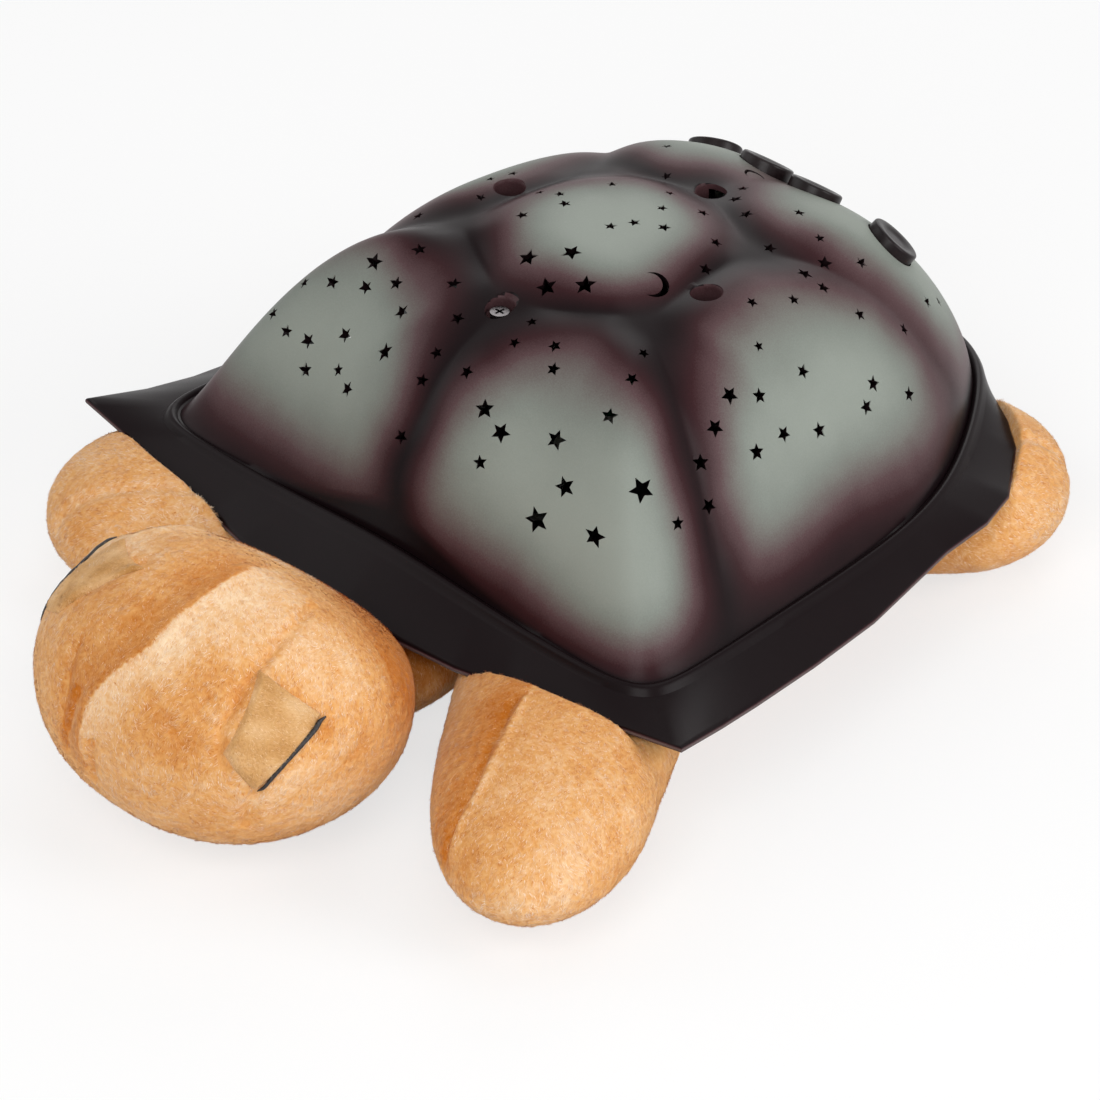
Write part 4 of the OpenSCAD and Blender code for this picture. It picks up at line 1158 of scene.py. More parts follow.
        # The bead is half a wave over its width.
        rings += [s.out(az, s.bead_w * u, 0.3 + (s.bead_h - 0.1) * math.sin(math.pi * (1 - u * 0.94)) ** 0.8)
                  for u in np.linspace(1, 0.04, 9)]
        rings += [s.point(az, t) for t in [*np.linspace(0.995, 0.9, 14), *np.linspace(0.89, 0.02, self.dome_rings)]]
        return np.array(rings)

    def cutters(self) -> Object:
        """One mesh of everything that is cut from the wall: star and moon holes and the bores of the wells.

        Returns:
            The cutting tool, as a closed mesh of many parts.
        """
        parts = []
        k = np.arange(10)
        arm = np.where(k % 2 == 0, 1, self.star_waist)
        for i, (az, el, size) in enumerate(self.stars):
            parts.append(self.hole(az, el, polar(arm, 36 * k + self.star_turn * i, 0)[:, :2], size))
        for az, el, size in self.moons:
            parts.append(self.hole(az, el, self.crescent(), size))
        circle = polar(1, np.arange(0, 360, 7.5), 0)
        bore, floor = self.well_d / 2, self.well_floor
        for x, y in self.wells:
            # A bore with a small round at its floor and a rolled lip at the top.
            top = float(self.shape.over(np.array([x]), np.array([y]))[0, 2])
            steps = [(self.screw_hole / 2, self.post_top - 1), (self.screw_hole / 2, floor),
                     (bore - 0.5, floor + 0.01), (bore, floor + 0.5), (bore, top - 1.2), (bore + 0.15, top - 0.5),
                     (bore + 0.5, top - 0.02), (bore + 1.4, top + 0.6), (bore + 3, top + 4)]
            parts.append(skin(np.array([circle * [r, r, 0] + [x, y, z] for r, z in steps])))
        for site, rows, drop in BUTTON_SITES:
            origin, turn = site_frame(site)
            for row in rows:
                points, faces = skin(np.array([circle * self.button_hole_r + [0, row, z - drop]
                                               for z in (-self.button_hole_l, self.button_hole_l)]))
                parts.append((points @ turn.T + origin, faces))
        return make_object("cutters", *joined(parts))

    def crescent(self) -> Array:
        """Outline of a moon of radius one: an outer arc and an inner arc of a shifted smaller circle.

        Returns:
            (n, 2) points, counter-clockwise.
        """
        bite, shift = 0.88, -0.33
        x = (1 - bite ** 2 + shift ** 2) / (2 * shift)
        out = math.acos(x)
        inner = math.atan2(math.sqrt(1 - x * x), x - shift)
        a = np.linspace(-out, out, 22)
        b = np.linspace(inner, -inner, 18)[1:-1]
        arc = np.stack([np.cos(a), np.sin(a)], -1)
        back = np.stack([shift + bite * np.cos(b), bite * np.sin(b)], -1)
        turn = math.radians(65)
        both = np.concatenate([arc, back])
        return both @ np.array([[math.cos(turn), math.sin(turn)], [-math.sin(turn), math.cos(turn)]])

    def hole(self, az: float, el: float, flat: Array, size: float) -> Surface:
        """A prism towards the lamp whose outline flares by a quarter millimetre at the surface, as a burr-free edge.

        Args:
            az: Direction in plan, in degrees.
            el: Height over the rim's plane, in degrees.
            flat: (n, 2) outline of radius one.
            size: Radius of the hole in millimetres.

        Returns:
            The points and faces of the prism.
        """
        turn = towards(az, el)
        far = self.shape.reach(az, el, False)
        real = self.shape.reach(az, el)
        wide = size + self.hole_flare
        steps = [(size, far - self.hole_in), (size, real - 0.25), (wide, real + 0.12), (wide, far + 3)]
        rings = [np.concatenate([flat * r, np.full((len(flat), 1), z)], 1) @ turn.T + [0, 0, self.shape.rim_z]
                 for r, z in steps]
        return skin(np.array(rings))

    def cups(self) -> Object:
        """Closed cups round the wells, whose upper edges lie inside the wall.

        Returns:
            The cups, as one mesh.
        """
        circle = polar(self.well_d / 2 + self.well_wall, np.arange(0, 360, 15), 0)
        parts = []
        for x, y in self.wells:
            top = self.shape.over(x + circle[:, 0], y + circle[:, 1]) - [0, 0, self.cup_under]
            low = top.copy()
            low[:, 2] = self.post_top
            parts.append(skin(np.array([low, top])))
        return make_object("cups", *joined(parts))

    def spray(self, p: Array) -> Array:
        """Tone of the spray at points of the wall: 0 in a scute's middle, 1 along seams and below the rim.

        Each seam and the rim take the share e^-(d/reach)^1.6 of the light lacquer away. What is left is the
        product of what each leaves, which rounds the corners of the light zones.

        Args:
            p: (n, 3) points in millimetres.

        Returns:
            (n,) tones.
        """
        s = self.shape
        xy = p[:, :2] + 1.6 * np.stack([ripple(p, 30, 4), ripple(p, 30, 5)], -1)
        climb = self.climb
        for at, width, less in self.climb_dips:
            climb = climb - less * np.exp(-(((azimuth(p) - at) / width) ** 2))
        height = np.clip(p[:, 2] - s.rim_z - s.arch(p) + 2.0 * ripple(p, 46, 9), 0, None)
        left = 1 - self.rim_share * np.exp(-((height / climb) ** self.spray_power))
        for i, (a, b, _, _) in enumerate(s.seams()):
            d, _ = foot_on(xy, a, b)
            # Round the middle scute the spray runs further out than in. The rear seams are sprayed thinly.
            past = smooth((xy - (a + b) / 2) @ unit(a + b), -6, 6)
            ring = i % 2 == 0
            reach = mix(self.spray_in, self.spray_out[i // 2], past) if ring else self.spray_side[i // 2]
            share = 1 if ring else self.spray_share[i // 2]
            left = left * (1 - share * np.exp(-((d / reach) ** self.spray_power)))
        return 1 - left

    def tone(self, shell: Object) -> None:
        """Stores the spray for each corner of a face, so that a hole's edge is crisp, with a painted highlight on the
        skirt's edge and painted light in the screw wells.

        Args:
            shell: The pierced shell.
        """
        points, mesh = points_of(shell), shell.data
        past_rim = np.hypot(points[:, 0], points[:, 1]) > self.shape.rim_r(azimuth(points)) - 1
        tone = np.where(past_rim, 1.0, self.spray(points))
        # The skirt's edge is painted lighter: a painted highlight along its rounded rim.
        tone[self.shape.edge_over(points[:, 0], points[:, 1])[0] > self.bare_depth] = self.edge_highlight_tone
        # A face whose middle lies under the outside is the bare black plastic of the wall or of a hole.
        middle = read(mesh.polygons, "center", 3).astype(float) / MM
        bare = self.shape.depth(middle) > self.bare_depth
        # The screw wells' walls are painted paler than a star's: painted light in the bowls.
        off = np.min([np.hypot(middle[:, 0] - x, middle[:, 1] - y) for x, y in self.wells], axis=0)
        painted_light_bowl = (off < self.well_d / 2 + 1) & (middle[:, 2] > self.well_floor - 0.2)
        sides = read(mesh.polygons, "loop_total", kind=np.int32)
        values = np.where(np.repeat(bare, sides), np.repeat(np.where(painted_light_bowl, self.well_painted_light_tone, 1.0), sides),
                          tone[read(mesh.loops, "vertex_index", kind=np.int32)])
        mesh.attributes.new("spray", "FLOAT", "CORNER").data.foreach_set("value", values.astype(np.float32))

    def build(self) -> Object:
        """Makes the shell, cuts its holes, and stores the spray tone.

        Returns:
            The shell.
        """
        shell = make_object("shell_skin", *skin(self.rings()))
        combined(shell, self.cups(), Join.ADD)
        combined(shell, self.cutters())
        shell.data.set_sharp_from_angle(angle=math.radians(self.sharp))
        self.tone(shell)
        SHELL_FINISH.on(shell)
        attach(shell, BODY)
        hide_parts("shell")
        log.info("shell_skin: %d faces, %d stars", len(shell.data.polygons), len(self.stars))
        return shell


MIDDLE_SITE, LEFT_SITE, RIGHT_SITE = (0, 75), (36.5, 80), (-36.5, 80)
BUTTON_ROW, BUTTON_DROP = 10.0, 0.387
BUTTON_SITES = ((MIDDLE_SITE, (-BUTTON_ROW, BUTTON_ROW), BUTTON_DROP), (LEFT_SITE, (0,), 0.0), (RIGHT_SITE, (0,), 0.0))


def site_frame(site: Pair) -> tuple[Array, Array]:
    """Origin and turn of a button site: on the smooth dome, with its third axis along the normal.

    Args:
        site: Place in plan.

    Returns:
        The origin and the (3, 3) turn.
    """
    n = DOME.normal(*site)
    origin = DOME.over(np.array([site[0]], float), np.array([site[1]], float), False)[0]
    az, el = math.degrees(math.atan2(n[1], n[0])), 90 - math.degrees(math.acos(n[2]))
    return origin, towards(az, el)


@dataclass
class PushButton:
    """A turned cap with a raised round rim and a dished top, its flange and its stem."""

    name: str
    node: str
    body: str
    site: Pair
    row: float = 0.0
    drop: float = 0.0
    radius: float = 8.2
    proud: float = 2.6
    round_r: float = 0.8
    dish: float = 0.8
    rim_w: float = 1.9
    flange_w: float = 1.2
    flange_z: Pair = (-6.5, -5.1)
    stem_r: float = 2.5
    stem_l: float = 13.4
    pin_r: float = 1.7
    pin_l: float = 3.0
    bevel: float = 0.1
    steps: int = 96

    def profile(self) -> Array:
        """Radius and height of the outline from the stem's end to the middle of the dish.

        Returns:
            (n, 2) radii and heights.
        """
        a, r, axis = np.radians(np.linspace(0, 90, 7)), self.round_r, 0.01
        shoulder = np.stack([self.radius - r + r * np.cos(a), self.proud - r + r * np.sin(a)], -1)
        u = np.linspace(0, 1, 10)[1:]
        dish = np.stack([(self.radius - self.rim_w) * (1 - u), self.proud - self.dish * smooth(u, 0, 0.5) ** 0.8], -1)
        end, (under, over) = self.drop - self.stem_l, self.flange_z
        foot, brim = end - self.pin_l, self.radius + self.flange_w
        low = np.array([[axis, foot], [self.pin_r - self.bevel, foot], [self.pin_r, foot + self.bevel],
                        [self.pin_r, end], [self.stem_r - self.bevel, end], [self.stem_r, end + self.bevel],
                        [self.stem_r, under], [brim, under], [brim, over], [self.radius, over], [self.radius, 0.0]])
        return np.concatenate([low, shoulder, dish[:-1], [[axis, self.proud - self.dish]]])

    def build(self) -> Object:
        """Turns the outline about its axis and sets it on the dome.

        Returns:
            The cap.
        """
        a = np.linspace(0, 2 * np.pi, self.steps, endpoint=False)
        p = self.profile()
        rings = np.stack(np.broadcast_arrays(p[:, :1] * np.cos(a), p[:, :1] * np.sin(a), p[:, 1:]), -1)
        origin, turn = site_frame(self.site)
        rings = (rings + [0, self.row, -self.drop]) @ turn.T + origin
        cap = make_object(self.name, *skin(rings))
        cap.data.set_sharp_from_angle(angle=math.radians(40))
        BUTTON_FINISH.on(cap)
        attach(cap, self.body)
        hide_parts(self.node)
        log.info("%s: %d faces", self.name, len(cap.data.polygons))
        return cap


# ---------------------------------------------------------------- plush


@dataclass(frozen=True)
class Stroke:
    """A line on a soft piece: a groove or ridge, and a darker or lighter band of nap tone, mostly painted shade along a
    groove and a painted highlight along a ridge.

    path is in the piece's own flat measure, as its flatten method gives it. split makes the tone lighter on
    the left of the line and darker on its right: painted light and painted shade on the two sides of a fold.
    """

    path: tuple[tuple[float, ...], ...]
    depth: float = 0.0
    width: float = 3.0
    nap: float = 0.0
    nap_width: float = 6.0
    split: float = 0.0


@dataclass(frozen=True)
class Nap:
    """How the tone and the height of the nap wander: wave lengths in millimetres, and shares of the tone."""

    middle: float = 0.52
    broad_mm: float = 34.0
    broad: float = 0.07
    narrow_mm: float = 11.0
    narrow: float = 0.05
    clump_mm: float = 2.6
    clump: float = 0.08
    clump_h: float = 0.11
    clump_waves: int = 14


@dataclass(frozen=True)
class Blade:
    """A fibre of the pile as a thin triangle: its half width in millimetres and the ranges of what varies."""

    half_w: float = 0.12
    widths: Pair = (0.7, 1.3)
    lengths: Pair = (0.7, 1.2)
    rise: Pair = (0.05, 0.26)
    stray: float = 0.35
    sunk: float = 0.1
    tone: float = 0.22
    turned: float = 0.2
    uneven: float = 0.12
    wander_mm: float = 26.0
    wander: float = 0.5
    tuft_mm: float = 4.5
    tuft: float = 0.55


NAP, BLADE = Nap(), Blade()


@dataclass
class SoftPiece:
    """A stuffed piece of velour: a closed form that cloth tension swells, then seams, nap and pile."""

    name: str
    node: str
    fill: float = 0.7
    voxel: float = 4.5
    swell: float = 3.0
    levels: int = 2
    density: float = 2.5
    fibre_mm: float = 1.7
    way: Triple = (0.0, -1.0, -0.3)
    seed: int = 1
    strokes: tuple[Stroke, ...] = ()
    under_skirt: bool = False
    velour: Finish = VELOUR
    fibre: Finish = FIBRE
    slot: str = "plush"
    body: str = BODY
    obj: Optional[Object] = field(default=None, repr=False)

    def form(self) -> Object:
        """The closed form before it is stuffed. Each kind of piece has its own."""
        raise NotImplementedError

    def flatten(self, points: Array) -> Array:
        """The measure in which strokes are drawn: plan by default."""
        return points[:, :2]

    def free(self, points: Array, normals: Array) -> Array:
        """How free each point is to swell, from 0 to 1. Points near the floor or the shell stay."""
        return smooth(points[:, 2], 0.5, 8)

    def shown(self, points: Array) -> Array:
        """True where the pile can be seen. The rest is under the shell or against the body."""
        return np.ones(len(points), bool)

    def start(self) -> None:
        """Makes the form and cuts it into even faces, ready to be stuffed."""
        self.obj = remeshed(self.form(), self.voxel)

    def sculpt(self) -> None:
        """Draws seams and folds into the surface and stores the nap tone, with painted shade and painted highlights
        along the strokes.
        """
        refined(self.obj, self.levels)
        p, n = points_of(self.obj), normals_of(self.obj)
        flat = self.flatten(p)
        push = np.zeros(len(p))
        clump = ripple(p, NAP.clump_mm, self.seed + 3, NAP.clump_waves)
        nap = (NAP.middle + NAP.broad * ripple(p, NAP.broad_mm, self.seed)
               + NAP.narrow * ripple(p, NAP.narrow_mm, self.seed + 7) + NAP.clump * clump)
        up = self.stroke_side(p, n)
        for s in self.strokes:
            path = np.array(s.path, float)
            d = distance_to_path(flat, path)
            push -= s.depth * np.exp(-((d / s.width) ** 2)) * up
            # Most strokes paint shade into their grooves and highlights onto their ridges, and split paints one side of
            # a fold lighter and the other darker.
            nap += (s.nap + s.split * side_of(flat, path)) * np.exp(-((d / s.nap_width) ** 2)) * up
        push += NAP.clump_h * clump * self.free(p, n)
        p = p + n * push[:, None]
        p[:, 2] = np.maximum(p[:, 2], 0.1)
        if self.under_skirt:
            p[:, 2] = np.minimum(p[:, 2], DOME.head_room(p))
        set_points(self.obj, p)
        set_attribute(self.obj, "nap", np.clip(nap, 0.02, 0.98))

    def stroke_side(self, points: Array, normals: Array) -> Array:
        """Strength of strokes at each point: on the upper side only by default."""
        return smooth(normals[:, 2], -0.2, 0.25)

    def lean(self, points: Array, normals: Array) -> Array:
        """The way in which the pile lies: a wandering direction laid flat on the surface.

        Args:
            points: (n, 3) points in millimetres.
            normals: (n, 3) normals there.

        Returns:
            (n, 3) directions.
        """
        wander = np.stack([ripple(points, BLADE.wander_mm, self.seed + k) for k in (20, 21, 22)], -1)
        tuft = np.stack([ripple(points, BLADE.tuft_mm, self.seed + k) for k in (30, 31, 32)], -1)
        v = np.array(self.way, float) + BLADE.wander * wander + BLADE.tuft * tuft
        return unit(v - normals * (v * normals).sum(1, keepdims=True))

    def pile(self) -> Object:
        """Plants the fibres: thin leaning blades at random places, each with a normal near the surface's.

        A triangle of the skin gets fibres by its share of the area. A fibre's root is a random mix of its
        three corners, and its tip lies its length away, part along the normal and part along the lean.

        Returns:
            The fibres, as one mesh.
        """
        mesh = self.obj.data
        mesh.calc_loop_triangles()
        tri = read(mesh.loop_triangles, "vertices", 3, np.int32)
        p, n = points_of(self.obj), normals_of(self.obj)
        nap = read(mesh.attributes["nap"].data, "value")
        a, b, c = (p[tri[:, k]] for k in range(3))
        area = np.linalg.norm(np.cross(b - a, c - a), axis=1) / 2 * self.shown((a + b + c) / 3)
        rng = np.random.default_rng(self.seed)
        count = int(area.sum() * self.density)
        pick = tri[rng.choice(len(tri), count, p=area / area.sum())]
        share = rng.dirichlet((1, 1, 1), count)[:, :, None]
        root, normal = (p[pick] * share).sum(1), unit((n[pick] * share).sum(1))
        tone = (nap[pick] * share[:, :, 0]).sum(1)
        lean = self.lean(root, normal)
        side = np.cross(lean, normal)
        lean = unit(lean + side * rng.normal(0, BLADE.stray, (count, 1)))
        rise = rng.uniform(*BLADE.rise, (count, 1))
        long = self.fibre_mm * rng.uniform(*BLADE.lengths, (count, 1))
        tip = root + long * unit(normal * rise + lean * (1 - rise * 0.5))
        half = BLADE.half_w * rng.uniform(*BLADE.widths, (count, 1)) * unit(np.cross(tip - root, normal))
        root = root - normal * BLADE.sunk
        points = np.stack([root - half, root + half, tip], 1).reshape(-1, 3)
        points[:, 2] = np.maximum(points[:, 2], 0.05)
        faces = np.arange(count * 3).reshape(-1, 3)
        blades = make_object(self.name + "_pile", points, faces.tolist())
        shade = np.clip(tone + rng.normal(0, BLADE.tone, count), 0.03, 0.97)
        uv = np.zeros((count, 3, 2), np.float32)
        uv[:, :, 0] = shade[:, None]
        uv[:, 2, 1] = 1
        blades.data.uv_layers.new(name=PILE_MAP).data.foreach_set("uv", uv.ravel())
        # A blade shades as the pile does, turned a little towards its own lean.
        own = unit(normal + BLADE.turned * lean + rng.normal(0, BLADE.uneven, (count, 3)))
        blades.data.normals_split_custom_set_from_vertices(np.repeat(own, 3, axis=0).tolist())
        self.fibre.on(blades)
        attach(blades, self.body)
        log.info("%s_pile: %d fibres", self.name, count)
        return blades

    def finish(self) -> None:
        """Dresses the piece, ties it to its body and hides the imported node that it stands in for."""
        self.sculpt()
        self.velour.on(self.obj)
        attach(self.obj, self.body)
        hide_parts(self.node)
        log.info("%s: %d faces", self.name, len(self.obj.data.polygons))
        self.pile()


def stuffed(pieces: Sequence[SoftPiece], frames: int = 20) -> None:
    """Swells the pieces as cloth under inner pressure and keeps what each point may move.

    All pieces are stepped together. A point's way is cut to the piece's swell and scaled by how free it is.

    Args:
        pieces: Pieces that have been started.
        frames: Frames to step.
    """
    rest = [points_of(p.obj) for p in pieces]
    for p in pieces:
        cloth = p.obj.modifiers.new("stuffing", "CLOTH")
        s = cloth.settings
        s.quality, s.mass, s.use_pressure, s.uniform_pressure_force = 5, 0.3, True, 4.0
        s.tension_stiffness = s.compression_stiffness = 12
        s.bending_stiffness = 0.4
        s.effector_weights.gravity = 0
        cloth.point_cache.frame_start, cloth.point_cache.frame_end = 1, frames
    for frame in range(1, frames + 1):
        bpy.context.scene.frame_set(frame)
    for p, before in zip(pieces, rest):
        applied(p.obj)
        way = points_of(p.obj) - before
        far = np.linalg.norm(way, axis=1, keepdims=True)
        way = way * np.minimum(1, p.swell / np.maximum(far, 1e-9))
        set_points(p.obj, before + way * p.free(before, normals_of(p.obj))[:, None])
    bpy.context.scene.frame_set(1)


def body_form(grow: float, steps: int = 120) -> Surface:
    """The plush body under the shell: rings at set heights, each a set way inside the dome's outline.

    Args:
        grow: Millimetres added all round.
        steps: Points of a ring.

    Returns:
        The points and faces.
    """
    profile = ((0, 34), (1.5, 28), (8, 21), (18, 15), (28, 10), (35.2, 8), (37.7, 10.5))
    az = np.linspace(0, 360, steps, endpoint=False)
    rings = []
    for k, (z, inset) in enumerate(profile):
        lift = grow if k == len(profile) - 1 else -grow if k == 0 else 0
        rings.append(polar(DOME.rim_r(az) - inset + grow, az, z + lift))
    return skin(np.array(rings))


def box_form(low: Sequence[float], high: Sequence[float]) -> Surface:
    """A closed block between two corners.

    Args:
        low: The lowest corner.
        high: The highest corner.

    Returns:
        The points and faces.
    """
    (x0, y0, z0), (x1, y1, z1) = low, high
    ring = np.array([[x0, y0], [x1, y0], [x1, y1], [x0, y1]], float)
    return skin(np.array([np.c_[ring, np.full(4, z)] for z in (z0, z1)]))


@dataclass
class PlushBody(SoftPiece):
    """The stuffed ring that carries the tray, with its pocket for the battery box and the recess of its flap."""

    pocket: Pair = (72, 84)
    pocket_y: float = 2.0
    recess: Pair = (84, 96)
    recess_top: float = 4.9
    gap: float = 0.3

    def form(self) -> Object:
        """The body less the pocket and the recess.

        Returns:
            The closed form.
        """
        body = make_object(self.name, *body_form(-self.gap))
        for name, size, top in (("pocket", self.pocket, 60), ("recess", self.recess, self.recess_top + 0.2)):
            x, y = size[0] / 2 + self.gap, size[1] / 2 + self.gap
            combined(body, make_object(name, *box_form((-x, self.pocket_y - y, -5), (x, self.pocket_y + y, top))))
        return body

    def inset(self, points: Array) -> Array:
        """How far points lie inside the dome's outline in plan."""
        return DOME.rim_r(azimuth(points)) - np.hypot(points[:, 0], points[:, 1])

    def free(self, points: Array, normals: Array) -> Array:
        """Only the outer side swells: the top carries the tray, and the pocket keeps its size."""
        return smooth(self.inset(points), 32, 16) * smooth(points[:, 2], 0.5, 8) * smooth(points[:, 2], 36, 30)

    def shown(self, points: Array) -> Array:
        """The outer side and the part of the underside that shows."""
        return (self.inset(points) < 40) & (points[:, 2] < 34)

    def stroke_side(self, points: Array, normals: Array) -> Array:
        """The seam round the body is drawn by height."""
        return np.ones(len(points))

    def flatten(self, points: Array) -> Array:
        """Height alone, so that a stroke runs all the way round."""
        return np.stack([np.zeros(len(points)), points[:, 2]], -1)


@dataclass
class Limb(SoftPiece):
    """A leg or the tail: tucked flat under the shell, then swelling and ending in a round."""

    root: Pair = (0, 0)
    tip: Pair = (0, -100)
    half_w: float = 35
    half_h: float = 23.5
    round_l: float = 60
    root_w: float = 0.86
    bow: float = 0.0
    shrink: float = 1.6

    def rings(self, sides: int = 44) -> Array:
        """Rings along the limb: ellipses that close in a round of its own length.

        Args:
            sides: Points of a ring.

        Returns:
            (m, sides, 3) points.
        """
        root, tip = np.array(self.root, float), np.array(self.tip, float)
        l = np.linalg.norm(tip - root)
        d = (tip - root) / l
        t = np.concatenate([np.linspace(0, 0.8, 22), 1 - 0.2 * np.cos(np.linspace(0, np.pi / 2, 16))[1:] ** 1.3])
        t = np.minimum(t, 0.9985)
        over = np.clip((t - 1 + self.round_l / l) / (self.round_l / l), 0, None)
        g = np.sqrt(np.clip(1 - over ** 2.3, 0, None))
        w = (self.half_w - self.shrink) * g * mix(self.root_w, 1.0, np.minimum(1, t / 0.5))
        h = (self.half_h - self.shrink) * g
        a = np.linspace(0, 2 * np.pi, sides, endpoint=False)
        # The middle line bows sideways by half a wave over the limb's first seven tenths.
        side = w[:, None] * np.cos(a) + self.bow * np.sin(np.pi * np.minimum(1, t / 0.7))[:, None]
        x = root[0] + d[0] * (l * t)[:, None] - d[1] * side
        y = root[1] + d[1] * (l * t)[:, None] + d[0] * side
        return np.stack([x, y, 0.2 + self.half_h + h[:, None] * np.sin(a)], -1)

    def form(self) -> Object:
        """The limb less the body that it is sewn to."""
        limb = make_object(self.name, *skin(self.rings()))
        return combined(limb, make_object("body_tool", *body_form(0.8)))

    def free(self, points: Array, normals: Array) -> Array:
        """The limb swells where it is clear of the shell and the body."""
        return smooth(DOME.edge_over(points[:, 0], points[:, 1])[0], -25, 5) * smooth(points[:, 2], 0.2, 6)

    def shown(self, points: Array) -> Array:
        """Pile on all but the part against the body."""
        out = DOME.edge_over(points[:, 0], points[:, 1])[0]
        return (out > -3) | ((out > -24) & (points[:, 2] < 30))


@dataclass
class Head(SoftPiece):
    """The head: a soft ball that slopes back to the neck, with the neck as far as the body."""

    centre: Triple = (9.4, -157.6, 41.2)
    half: Triple = (58.8, 51.4, 41.0)
    power: float = 2.05
    low_power: float = 2.25
    slope: float = 0.75
    neck_half: Pair = (25, 16)
    neck_y: Pair = (-50, -128)
    neck_round: float = 40.0
    shrink: float = 1.8

    def surface(self, az: Array, el: Array, grow: float) -> Array:
        """Points in head directions: a ball, fuller below, whose top comes down to the neck.

        A direction meets the ball where the sum of (|x| / half)^power over the three axes is one.

        Args:
            az: Directions in degrees.
            el: Heights over the head's middle, in degrees.
            grow: Millimetres added to each half size.

        Returns:
            (..., 3) points.
        """
        az, el = np.broadcast_arrays(np.radians(az), np.radians(el))
        u = np.stack([np.cos(az) * np.cos(el), np.sin(az) * np.cos(el), np.sin(el)], -1)
        half = np.array(self.half) + grow
        power = mix(self.power, self.low_power, np.clip(-1.6 * u[..., 2:], 0, 1))
        k = ((np.abs(u) / half) ** power).sum(-1, keepdims=True) ** (-1 / power)
        p = u * k
        back = np.clip(p[..., 1] / self.half[1], 0, 1)
        p[..., 2] *= np.where(p[..., 2] > 0, 1 - self.slope * back ** 1.5, 1)
        return p + self.centre

    def form(self) -> Object:
        """Ball and neck joined, less the body.

        Returns:
            The closed form.
        """
        el, az = np.linspace(-87, 87, 40), np.linspace(0, 360, 72, endpoint=False)
        ball = make_object(self.name, *skin(self.surface(az[None], el[:, None], -self.shrink)))
        neck = Limb("neck", "head", root=(0, self.neck_y[0]), tip=(self.centre[0], self.neck_y[1]),
                    half_w=self.neck_half[0], half_h=self.neck_half[1], round_l=self.neck_round, shrink=self.shrink)
        combined(ball, make_object("neck_tool", *skin(neck.rings())), Join.ADD)
        return combined(ball, make_object("body_tool", *body_form(0.8)))

    def free(self, points: Array, normals: Array) -> Array:
        """The head swells in front of the shell."""
        return smooth(points[:, 1], -108, -122) * smooth(points[:, 2], 0.2, 6)

    def shown(self, points: Array) -> Array:
        """Pile in front of the body."""
        return points[:, 1] < -80

    def flatten(self, points: Array) -> Array:
        """Directions from the middle of the head, at the radius at which strokes are measured."""
        return unit((points - self.centre) / np.array(self.half)) * HEAD_MEASURE

    def stroke_side(self, points: Array, normals: Array) -> Array:
        """Strokes reach all over the head and onto the neck."""
        return smooth(points[:, 1], -78, -92)


def head_path(*pairs: Pair) -> tuple[tuple[float, ...], ...]:
    """A stroke through head directions (azimuth, elevation) in degrees, in the head's flat measure.

    Directions between two given ones are mixed in equal steps and brought to the head's radius again.

    Args:
        pairs: Azimuth and elevation of each given direction.

    Returns:
        Points for a stroke's path.
    """
    a = np.radians(np.array(pairs, float))
    u = np.stack([np.cos(a[:, 0]) * np.cos(a[:, 1]), np.sin(a[:, 0]) * np.cos(a[:, 1]), np.sin(a[:, 1])], -1)
    steps = np.linspace(0, 1, 7)[:-1]
    line = [mix(p, q, t) for p, q in zip(u[:-1], u[1:]) for t in steps] + [u[-1]]
    return tuple(map(tuple, unit(np.array(line)) * HEAD_MEASURE))


@dataclass
class BellyFlap(SoftPiece):
    """The double layer of velour that closes the pocket, with rounded corners and a stitched hem."""

    size: Pair = (82.4, 94.4)
    mid_y: float = 2.0
    corner_power: float = 22.0
    hem: float = 4.5
    # The way in from the edge and the height of each ring, from the outer face to the inner one.
    section: tuple[Pair, ...] = ((2.0, 0.35), (0.5, 0.6), (0.0, 1.5), (0.5, 2.5), (2.0, 2.8))

    def form(self) -> Object:
        """A rounded cushion of even thickness.

        Returns:
            The closed form.
        """
        half = np.array(self.size) / 2 - 0.4
        a = np.linspace(0, 2 * np.pi, 120, endpoint=False)
        c, s = np.cos(a), np.sin(a)
        k = (np.abs(c) ** self.corner_power + np.abs(s) ** self.corner_power) ** (-1 / self.corner_power)
        out = np.stack([c * k * half[0], s * k * half[1]], -1)
        rings = [np.c_[out * (1 - i / half.min()) + [0, self.mid_y], np.full(len(a), z)]
                 for i, z in self.section]
        return make_object(self.name, *skin(np.array(rings)))

    def free(self, points: Array, normals: Array) -> Array:
        """The flap keeps its thickness."""
        return np.zeros(len(points))

    def shown(self, points: Array) -> Array:
        """Pile on the outer face only."""
        return points[:, 2] < 1.2

    def sculpt(self) -> None:
        """Presses a row of stitches in along the hem."""
        refined(self.obj, 1)
        p, n = points_of(self.obj), normals_of(self.obj)
        x, y = np.abs(p[:, 0]), np.abs(p[:, 1] - self.mid_y)
        inset = np.minimum(self.size[0] / 2 - x, self.size[1] / 2 - y)
        push = -0.5 * np.exp(-((inset - self.hem) ** 2)) * smooth(np.abs(n[:, 2]), 0.4, 0.8)
        set_points(self.obj, p + n * push[:, None])
        set_attribute(self.obj, "nap", np.clip(0.5 + 0.15 * ripple(p, 30, 5), 0, 1))


